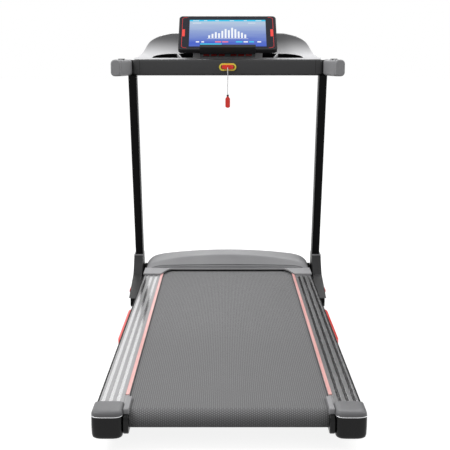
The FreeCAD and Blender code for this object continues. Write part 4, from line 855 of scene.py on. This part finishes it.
def window_ring(side):
    """A closed rim in the cap's rear face, through four rounded rectangles: its outer and inner edge, each
    in front and behind."""
    outer = rounded(*WINDOW_HALF, 8.9 * MM, 9)
    inner = rounded(*(WINDOW_HALF - WINDOW_RIM), 7.5 * MM, 9)
    front = CAP_REAR + 0.6 * MM
    back = front + WINDOW_DEEP
    return np.stack([np.column_stack([side * (CAP_MIDDLE + ring[:, 0]), np.full(len(ring), y),
                                      WINDOW_Z + ring[:, 1]])
                     for ring, y in ((outer, back), (outer, front), (inner, front), (inner, back))])


class TREADMILL_OT_end_caps(bpy.types.Operator):
    """Make the rear end caps: glossy body, bright joint line and rounded grey lid, both sides"""

    bl_idname = "treadmill.end_caps"
    bl_label = "Rear end caps"

    def execute(self, context):
        for side, word in SIDES:
            body = skin("end_cap_body_" + word, cap_rings(CAP_LEVELS, side), "deck", "black_abs", "cap_abs",
                        sharp=40)
            lid = skin("end_cap_lid_" + word, cap_rings(LID_LEVELS, side), "deck", "grey_abs", "lid_abs",
                       sharp=40)
            skin("end_cap_line_" + word, cap_rings(LINE_LEVELS, side), "deck", "silver_abs", "line_silver")
            rim = window_ring(side)
            faces = grid_faces(*rim.shape[:2], close_rows=True, close_columns=True)
            face_outwards(new_piece("end_cap_window_" + word, rim, faces, "deck", "black_abs",
                                    FINISHES["cap_abs"]))
            if side > 0:
                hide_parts("end_caps")
                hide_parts("end_cap_lids")
        return {"FINISHED"}


# Motor hood

def smooth_through(x, places, values):
    """A smooth curve through given points: cubic pieces whose slope at each point is the harmonic mean of
    its neighbours' slopes, or level where they change sign, so that nothing overshoots."""
    places, values = np.asarray(places, float), np.asarray(values, float)
    widths = np.diff(places)
    slopes = np.diff(values) / widths
    product = slopes[:-1] * slopes[1:]
    total = np.where(product > 0, slopes[:-1] + slopes[1:], 1.0)
    inner = np.where(product > 0, 2 * product / total, 0.0)
    ends = np.concatenate([[slopes[0]], inner, [slopes[-1]]])
    x = np.clip(x, places[0], places[-1])
    i = np.clip(np.searchsorted(places, x) - 1, 0, len(widths) - 1)
    t = (x - places[i]) / widths[i]
    a, b = values[i], values[i + 1]
    return ((1 + 2 * t) * (1 - t) ** 2 * a + t * (1 - t) ** 2 * widths[i] * ends[i]
            + t * t * (3 - 2 * t) * b + t * t * (t - 1) * widths[i] * ends[i + 1])


def lower_of(a, b, blend):
    """The lower of two heights, with their crease rounded: minus blend times the log of the summed
    exponentials of minus each height over blend."""
    low = np.minimum(a, b)
    return low - blend * np.log(np.exp(-(a - low) / blend) + np.exp(-(b - low) / blend))


HOOD_HALF = 318 * MM
HOOD_REAR = 640 * MM
HOOD_FRONT = 800 * MM
HOOD_LOW = 92 * MM
HOOD_WALL = 2.2 * MM
SHOULDER = 70 * MM
SHOULDER_TALL = 45 * MM
# The dome's middle line from the lip to the front, and the slanting face that cuts it off at the rear
RIDGE_PLACES = np.array([640, 690, 735, 768, 788, 800]) * MM
RIDGE_HEIGHTS = np.array([149, 158.5, 162, 156, 144, 125]) * MM
CROWN = 15 * MM
FACE_LOW = 123.4 * MM
FACE_SLOPE = 0.92
CREASE = 1.2 * MM
LIP_TOP = 121 * MM
LIP_DEEP = 3.2 * MM
MOUTH = 107.2 * MM


class TREADMILL_OT_hood(bpy.types.Operator):
    """Make the motor hood: a crowned dome with round shoulders, a slanting front that meets it in a
    curved crease, and an upright lip over the belt"""

    bl_idname = "treadmill.hood"
    bl_label = "Motor hood"

    def execute(self, context):
        # Across: a flat middle between two round shoulders; along: rows from the lip to the front
        turn = np.linspace(0, math.pi / 2, 15)[1:]
        flat = np.linspace(-1, 1, 81) * (HOOD_HALF - SHOULDER)
        right = HOOD_HALF - SHOULDER + SHOULDER * np.sin(turn)
        drop = SHOULDER_TALL * (1 - np.cos(turn))
        x = np.concatenate([-right[::-1], flat, right])
        fall = np.concatenate([drop[::-1], np.zeros(len(flat)), drop])
        y = np.concatenate([[HOOD_REAR + 1.2 * MM],
                            np.linspace(HOOD_REAR + 2.5 * MM, HOOD_FRONT - 1 * MM, 62), [HOOD_FRONT]])
        ridge = smooth_through(y, RIDGE_PLACES, RIDGE_HEIGHTS)
        crown = CROWN * (x / (HOOD_HALF - SHOULDER)) ** 2
        dome = ridge[:, None] - np.minimum(crown, 17 * MM) - fall
        face = FACE_LOW + FACE_SLOPE * (y - HOOD_REAR)[:, None] - 0.75 * fall - 0.25 * crown
        z = np.maximum(lower_of(dome, face, CREASE), HOOD_LOW + 3 * MM)
        lip = np.minimum(z[0] - 2.4 * MM, LIP_TOP)
        mouth = np.where(np.abs(x) < HOOD_HALF - 4 * MM, MOUTH, HOOD_LOW)

        def row(place, level):
            return np.column_stack([x, np.full(len(x), place), np.broadcast_to(level, x.shape)])

        # The lip stands up over the belt and folds back into the slanting face
        rows = [row(HOOD_REAR, np.minimum(mouth, lip - 0.5 * MM)), row(HOOD_REAR, lip - 0.4 * MM),
                row(HOOD_REAR + 0.4 * MM, lip), row(HOOD_REAR + LIP_DEEP, lip + 0.1 * MM),
                row(HOOD_REAR + LIP_DEEP, np.maximum(z[0] - 0.5 * MM, lip + 0.2 * MM))]
        rows += [row(place, level) for place, level in zip(y, z)]
        surface = np.stack(rows + [row(HOOD_FRONT, HOOD_LOW)])
        side_wall = surface[:, [0]].copy()
        side_wall[..., 2] = np.minimum(side_wall[..., 2], HOOD_LOW)
        surface = np.concatenate([side_wall, surface, side_wall * (-1, 1, 1)], axis=1)
        count_rows, count_columns = surface.shape[:2]
        hood = new_piece("motor_hood_shell", surface, grid_faces(count_rows, count_columns), "deck",
                         "hood_abs", FINISHES["hood_abs"])
        centre_top = hood.data.polygons[len(hood.data.polygons) // 2]
        if centre_top.normal.z < 0:
            hood.data.flip_normals()
        hood.data.shade_smooth()
        wall = hood.modifiers.new("Wall", "SOLIDIFY")
        wall.thickness = HOOD_WALL
        wall.offset = -1
        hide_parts("motor_hood")
        return {"FINISHED"}


# Console

# The upper edge of a wing: distance across and reach up the slope
WING_ACROSS = np.array([0, 150, 194, 224, 253, 275, 289, 300, 307, 315, 323, 333, 343]) * MM
WING_RISE = np.array([164, 164, 163, 158, 147, 131, 117, 98, 79, 56, 36, 17, 7]) * MM
TRAY_LOW = 14 * MM
TRAY_DEEP = 20 * MM
TRAY_WALL = 0.3 * MM
POCKET = (128 * MM, 167 * MM)
CRESCENT = (173 * MM, 277 * MM)
CRESCENT_TALL = 28 * MM
CRESCENT_LEVEL = 26 * MM
UPPER_EDGE = 14 * MM
HOLLOW_DEEP = 7 * MM
HOLLOW_TALL = 130 * MM
FOOT_DEEP = 37 * MM
BACK_DEEP = 33 * MM


def wing_top(u):
    """How far up the slope the console reaches at a distance across: level behind the display, then an
    S curve down to the crossbar's end."""
    return smooth_through(np.abs(u), WING_ACROSS, WING_RISE)


def step_between(value, start, end):
    """0 before start, 1 after end, and a smooth S between them."""
    t = np.clip((value - start) / (end - start), 0, 1)
    return t * t * (3 - 2 * t)


def tray_height(across):
    """How far the tray reaches up the slope: the pocket's is level, and the crescent's is a quarter
    ellipse that comes to a point at its outer end."""
    reach = np.clip((CRESCENT[1] - across) / (CRESCENT[1] - CRESCENT[0] - CRESCENT_LEVEL), 0, 1)
    arch = CRESCENT_TALL * np.sqrt(np.clip(1 - (1 - reach) ** 2, 0, 1))
    return np.maximum(arch, 0.8 * MM)


class TREADMILL_OT_console(bpy.types.Operator):
    """Make the silver console: winged face with crescent trays, rounded upper edge and closed back"""

    bl_idname = "treadmill.console"
    bl_label = "Console"

    def execute(self, context):
        # Columns lie on the trays' borders, a hair to either side, so that their walls stand upright
        half = WING_ACROSS[-1]
        marks = np.array([side * edge for side in (-1, 1) for edge in POCKET + CRESCENT])
        walls = np.concatenate([marks - TRAY_WALL, marks + TRAY_WALL])
        u = np.unique(np.concatenate([np.linspace(-half, half, 259), walls]))
        across = np.abs(u)
        inside = np.zeros(len(u), bool)
        for inner, outer in (POCKET, CRESCENT):
            inside |= (across > inner) & (across < outer)

        # Rows up the slope: the foot, the trays, the face above them and the edge that rolls back
        top = wing_top(u)
        high = TRAY_LOW + tray_height(across)
        edge = np.minimum(UPPER_EDGE, top * 0.2)
        low_rows = [np.full(len(u), v) for v in np.array([0, 3, 7, 10, 13.7]) * MM]
        tray_rows = [TRAY_LOW + (high - TRAY_LOW) * share for share in np.linspace(0, 1, 15)]
        rest = np.maximum(top - edge - high, 1 * MM)
        mid_rows = [high + TRAY_WALL + rest * share for share in np.linspace(0, 1, 34)]
        turn = np.linspace(0, math.pi / 2, 11)[1:]
        v = np.stack(low_rows + tray_rows + mid_rows + [mid_rows[-1] + edge * np.sin(a) for a in turn])

        # Depth: the sunk trays, the rolled edge and the wings' hollow faces, which lean outwards
        trays = slice(len(low_rows), len(low_rows) + len(tray_rows))
        sunk = np.zeros(v.shape)
        sunk[trays] = inside * TRAY_DEEP * step_between(high - TRAY_LOW, 0, 9 * MM)
        roll = np.zeros(v.shape)
        roll[-len(turn):] = edge * (1 - np.cos(turn))[:, None]
        slant = step_between(across, 128 * MM, 168 * MM) * (1 - step_between(across, 172 * MM, 240 * MM))
        wide = u + np.sign(u) * 0.5 * np.clip(v - TRAY_LOW, 0, 30 * MM) * slant
        hollow = (HOLLOW_DEEP * np.sin(math.pi * np.clip(v / HOLLOW_TALL, 0, 1)) ** 2
                  * step_between(np.abs(wide), 130 * MM, 190 * MM))
        face = lean_to(wide, v, -roll - np.where(sunk > 0, sunk, hollow))

        # The closed back: a foot behind the crossbar, then rows down the rear from the rolled edge
        low_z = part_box("console_shell")[0].z + 0.4 * MM
        skirt = lean_to(u, 0, -0.2 * MM)
        low_front = skirt.copy()
        low_front[:, 2] = low_z
        low_back = low_front.copy()
        low_back[:, 1] = PANEL_Y + FOOT_DEEP
        thick = np.maximum(np.minimum(BACK_DEEP, 12 * MM + top * 0.4), edge + 3 * MM)
        backs = [lean_to(u, v[-1] * part, -thick) for part in (0.97, 0.8, 0.55, 0.3)]
        surface = np.stack([low_front, skirt, *face, *backs, low_back])
        surface[:, :, 1] = np.maximum(surface[:, :, 1], PANEL_Y + 0.2 * MM)
        surface[:, :, 2] = np.maximum(surface[:, :, 2], low_z)
        count_rows, count_columns = surface.shape[:2]
        faces = grid_faces(count_rows, count_columns, close_rows=True)
        faces += [[r * count_columns for r in range(count_rows)][::-1],
                  [r * count_columns + count_columns - 1 for r in range(count_rows)]]

        # Finishes: 0 silver, 1 black in the trays, 2 black on the back
        cells = np.zeros((count_rows, count_columns - 1), np.int32)
        cells[trays.start + 1:trays.stop + 2] = inside[1:] & inside[:-1]
        cells[-6:] = 2
        shell = new_piece("console_housing", surface, faces, "base", "silver_abs", FINISHES["silver_abs"],
                          FINISHES["liner_black"], FINISHES["black_abs"])
        shell.data.polygons.foreach_set("material_index", np.concatenate([cells.ravel(), [0, 0]]))
        face_outwards(shell)
        shell.data.set_sharp_from_angle(angle=math.radians(50))
        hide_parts("console_shell", "tray_liners")
        return {"FINISHED"}


# Display

def on_panel(low, high, radius, edge=0.06 * MM):
    """A thin plate with round corners, between two corners given in the console's leaning frame."""
    rings = rounded_block(low, high, radius, edge, axis=2, steps=2)
    return lean_to(*rings.transpose(2, 0, 1))


def joined(parts):
    """Several skins of rings as the points and faces of one mesh."""
    points, faces, count = [], [], 0
    for rings in parts:
        spots, quads = tube_of(rings)
        points.append(spots)
        faces += [[corner + count for corner in face] for face in quads]
        count += len(spots)
    return np.concatenate(points), faces


GLASS = 52 * MM

# Marks on the display in mm across and up: plates from corner to corner, bars' heights and broken lines
PICTURE = (-141, 15, 141, 167)
CYAN_PLATES = ((-141, 158, 141, 167), (-100, 24, -22, 31), (30, 37, 54, 43.5), (78, 37, 96, 43.5))
WHITE_PLATES = ((-128, 161, -106, 163.4), (-88, 161, -76, 163.4), (-46, 161, -32, 163.4),
                (8, 161, 24, 163.4), (60, 161, 72, 163.4), (104, 161, 126, 163.4),
                (-130, 147, -98, 149.2), (76, 147, 104, 149), (-116, 37, -104, 43.5),
                (-96, 37, -86, 43.5), (58, 37, 74, 43.5), (108, 37, 122, 43.5))
PINK_PLATES = ((-46, 37, -24, 43.5), (-20, 37, 2, 43.5))
CHART = (12, 19, 27, 22, 33, 41, 36, 47, 40, 30, 24, 16)
RED_BARS = ((157.5, 72, 168, 112), (-168, 72, -157.5, 112))
RED_LINES = (((150, 181.5), (162, 180), (168, 174), (168, 114)),
             ((168, 70), (168, 15), (162, 8.5), (150, 7)))


def fine_line(points, width):
    """A thin strip along a broken line on the display, mitred at its corners."""
    points = np.asarray(points, float) * MM
    runs = np.diff(points, axis=0)
    runs /= np.linalg.norm(runs, axis=1)[:, None]
    across = np.stack([-runs[:, 1], runs[:, 0]], axis=-1)
    offsets = np.vstack([across[:1], (across[:-1] + across[1:]) / 2, across[-1:]]) * width / 2
    left, right = points + offsets, points - offsets
    low, high = GLASS - 0.1 * MM, GLASS + 0.25 * MM
    corners = [(left, low), (right, low), (right, high), (left, high)]
    return np.stack([lean_to(side[:, 0], side[:, 1], n) for side, n in corners], axis=1)


class TREADMILL_OT_display(bpy.types.Operator):
    """Make the display's lit picture, a plain workout chart, and the red marks beside it"""

    bl_idname = "treadmill.display"
    bl_label = "Display"

    def execute(self, context):
        def plates(name, boxes, step, finish, radius=0.9):
            low, high = GLASS - 0.1 * MM, GLASS + step * 0.12 * MM
            parts = [on_panel((u0 * MM, v0 * MM, low), (u1 * MM, v1 * MM, high), radius * MM)
                     for u0, v0, u1, v1 in boxes]
            return face_outwards(new_piece(name, *joined(parts), "base", "display_glass", FINISHES[finish],
                                           smooth=False))

        plates("lit_picture", [PICTURE], 1, "lit_picture", 1.2)
        plates("cyan_pixels", CYAN_PLATES, 2, "lit_cyan")
        bars = [(-71 + 12 * k, 62, -64 + 12 * k, 62 + 1.25 * tall) for k, tall in enumerate(CHART)]
        plates("white_pixels", WHITE_PLATES, 3, "lit_white")
        plates("chart_bars", bars + [(-76, 58, 76, 59.3)], 2, "lit_white")
        plates("pink_pixels", PINK_PLATES, 2, "lit_pink")
        plates("red_light_bars", RED_BARS, 2, "lit_red")
        lines = [fine_line(np.array(line) * (side, 1), 1.3 * MM) for line in RED_LINES for side in (1, -1)]
        for word, line in zip(("right_high", "left_high", "right_low", "left_low"), lines):
            skin("red_line_" + word, line, "base", "display_glass", "lit_red", smooth=False)
        return {"FINISHED"}


# Rear belt guides, inside the end caps

GUIDE_WIDE = 13 * MM


class TREADMILL_OT_guides(bpy.types.Operator):
    """Make the stepped guides beside the belt's rear turn: black body and lighter top tab"""

    bl_idname = "treadmill.guides"
    bl_label = "Rear belt guides"

    def execute(self, context):
        low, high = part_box("belt_guides")
        inner = high.x - GUIDE_WIDE
        for side, word in SIDES:
            body = rounded_block((inner, low.y, low.z), (high.x, high.y - 14 * MM, high.z - 13 * MM),
                                 14 * MM, 2.5 * MM, axis=0)
            tab = rounded_block((inner, low.y + 16 * MM, high.z - 20 * MM), (high.x, high.y, high.z),
                                4 * MM, 1.5 * MM, axis=0)
            skin("belt_guide_body_" + word, body * (side, 1, 1), "deck", "grey_abs", "cap_abs", sharp=40)
            piece = skin("belt_guide_tab_" + word, tab * (side, 1, 1), "deck", "grey_abs", "grey_abs",
                         sharp=40)
            if side > 0:
                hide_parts("belt_guides")
        return {"FINISHED"}


# Crossbar and arms

BAR_LOW = 849.6 * MM
BAR_HIGH = 907.6 * MM
BAR_HALF = 346 * MM
BAR_FRONT = 587.8 * MM
CORE = ((-362 * MM, 546 * MM, 850.2 * MM), (362 * MM, 584 * MM, 905 * MM))
ARM_STATIONS = np.array([412, 545, 587.8]) * MM
ARM_MIDDLES = np.array([387.2, 367.6, 367.6]) * MM
ARM_HALVES = np.array([17.6, 21.2, 21.2]) * MM
ARM_EDGE = 10 * MM


class TREADMILL_OT_crossbar(bpy.types.Operator):
    """Make the crossbar's dark sleeve with round ends, and the grey splayed arms that meet it in a groove"""

    bl_idname = "treadmill.crossbar"
    bl_label = "Crossbar and arms"

    def execute(self, context):
        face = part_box("lock_bezel")[1].y
        sleeve = rounded_block((-BAR_HALF, face - 0.3 * MM, BAR_LOW), (BAR_HALF, BAR_FRONT, BAR_HIGH),
                               9 * MM, 13 * MM, axis=0, steps=9)
        piece = skin("crossbar_sleeve", sleeve, "base", "black_abs", "bar_abs", sharp=50)
        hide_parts("handlebar")
        # The steel core shows only in the groove between the sleeve and the arms
        skin("crossbar_core", rounded_block(*CORE, 2 * MM, 0.5 * MM, axis=0), "base", "black_abs",
             "black_steel", smooth=False)
        first, last = ARM_STATIONS[::2]
        turn = np.linspace(0, math.pi / 2, 9)
        ends = ARM_EDGE * (1 - np.sin(turn))
        close = ARM_EDGE * (1 - np.cos(turn))
        stations = np.concatenate([(first + ends)[::-1], np.linspace(first, last, 14)[2:-2], last - ends])
        draw_in = np.concatenate([close[::-1], np.zeros(10), close])
        middles = np.interp(stations, ARM_STATIONS, ARM_MIDDLES)
        halves = np.interp(stations, ARM_STATIONS, ARM_HALVES)
        tall = (BAR_HIGH - BAR_LOW) / 2
        for side, word in SIDES:
            rings = []
            for y, middle, half, inset in zip(stations, middles, halves, draw_in):
                ring = rounded(half - inset, tall - inset, max(11 * MM - inset, 3 * MM))
                rings.append(np.column_stack([side * (middle + ring[:, 0]), np.full(len(ring), y),
                                              BAR_LOW + tall + ring[:, 1]]))
            skin("arm_" + word, rings, "base", "grey_abs", "grey_abs", sharp=50)
        return {"FINISHED"}


OPERATORS = (
    TREADMILL_OT_finishes,
    TREADMILL_OT_stage,
    TREADMILL_OT_cord,
    TREADMILL_OT_belt,
    TREADMILL_OT_rails,
    TREADMILL_OT_end_caps,
    TREADMILL_OT_hood,
    TREADMILL_OT_console,
    TREADMILL_OT_display,
    TREADMILL_OT_guides,
    TREADMILL_OT_crossbar,
)


class TREADMILL_PT_sidebar(bpy.types.Panel):
    """Buttons and settings for the treadmill"""

    bl_idname = "TREADMILL_PT_sidebar"
    bl_label = "Treadmill"
    bl_space_type = "VIEW_3D"
    bl_region_type = "UI"
    bl_category = "Treadmill"

    def draw(self, context):
        for group, owner in SETTINGS:
            held = getattr(context.scene, group)
            column = self.layout.column(heading=owner.__doc__.rstrip("."))
            for name in owner.__annotations__:
                column.prop(held, name)
        for operator in OPERATORS:
            self.layout.operator(operator.bl_idname)


SETTINGS = (
    ("treadmill_paint", PaintSettings),
    ("treadmill_belt", BeltSettings),
    ("treadmill_screen", ScreenSettings),
    ("treadmill_stage", StageSettings),
)


def register():
    for group, owner in SETTINGS:
        bpy.utils.register_class(owner)
        setattr(bpy.types.Scene, group, PointerProperty(type=owner))
    for operator in OPERATORS:
        bpy.utils.register_class(operator)
    bpy.utils.register_class(TREADMILL_PT_sidebar)


def unregister():
    bpy.utils.unregister_class(TREADMILL_PT_sidebar)
    for operator in reversed(OPERATORS):
        bpy.utils.unregister_class(operator)
    for group, owner in SETTINGS:
        delattr(bpy.types.Scene, group)
        bpy.utils.unregister_class(owner)


def main():
    """Builds the whole treadmill and its stage, and writes both boxes for comparison."""
    register()
    for operator in OPERATORS:
        family, name = operator.bl_idname.split(".")
        getattr(getattr(bpy.ops, family), name)()
    bpy.context.view_layer.update()


if __name__ == "__main__":
    main()
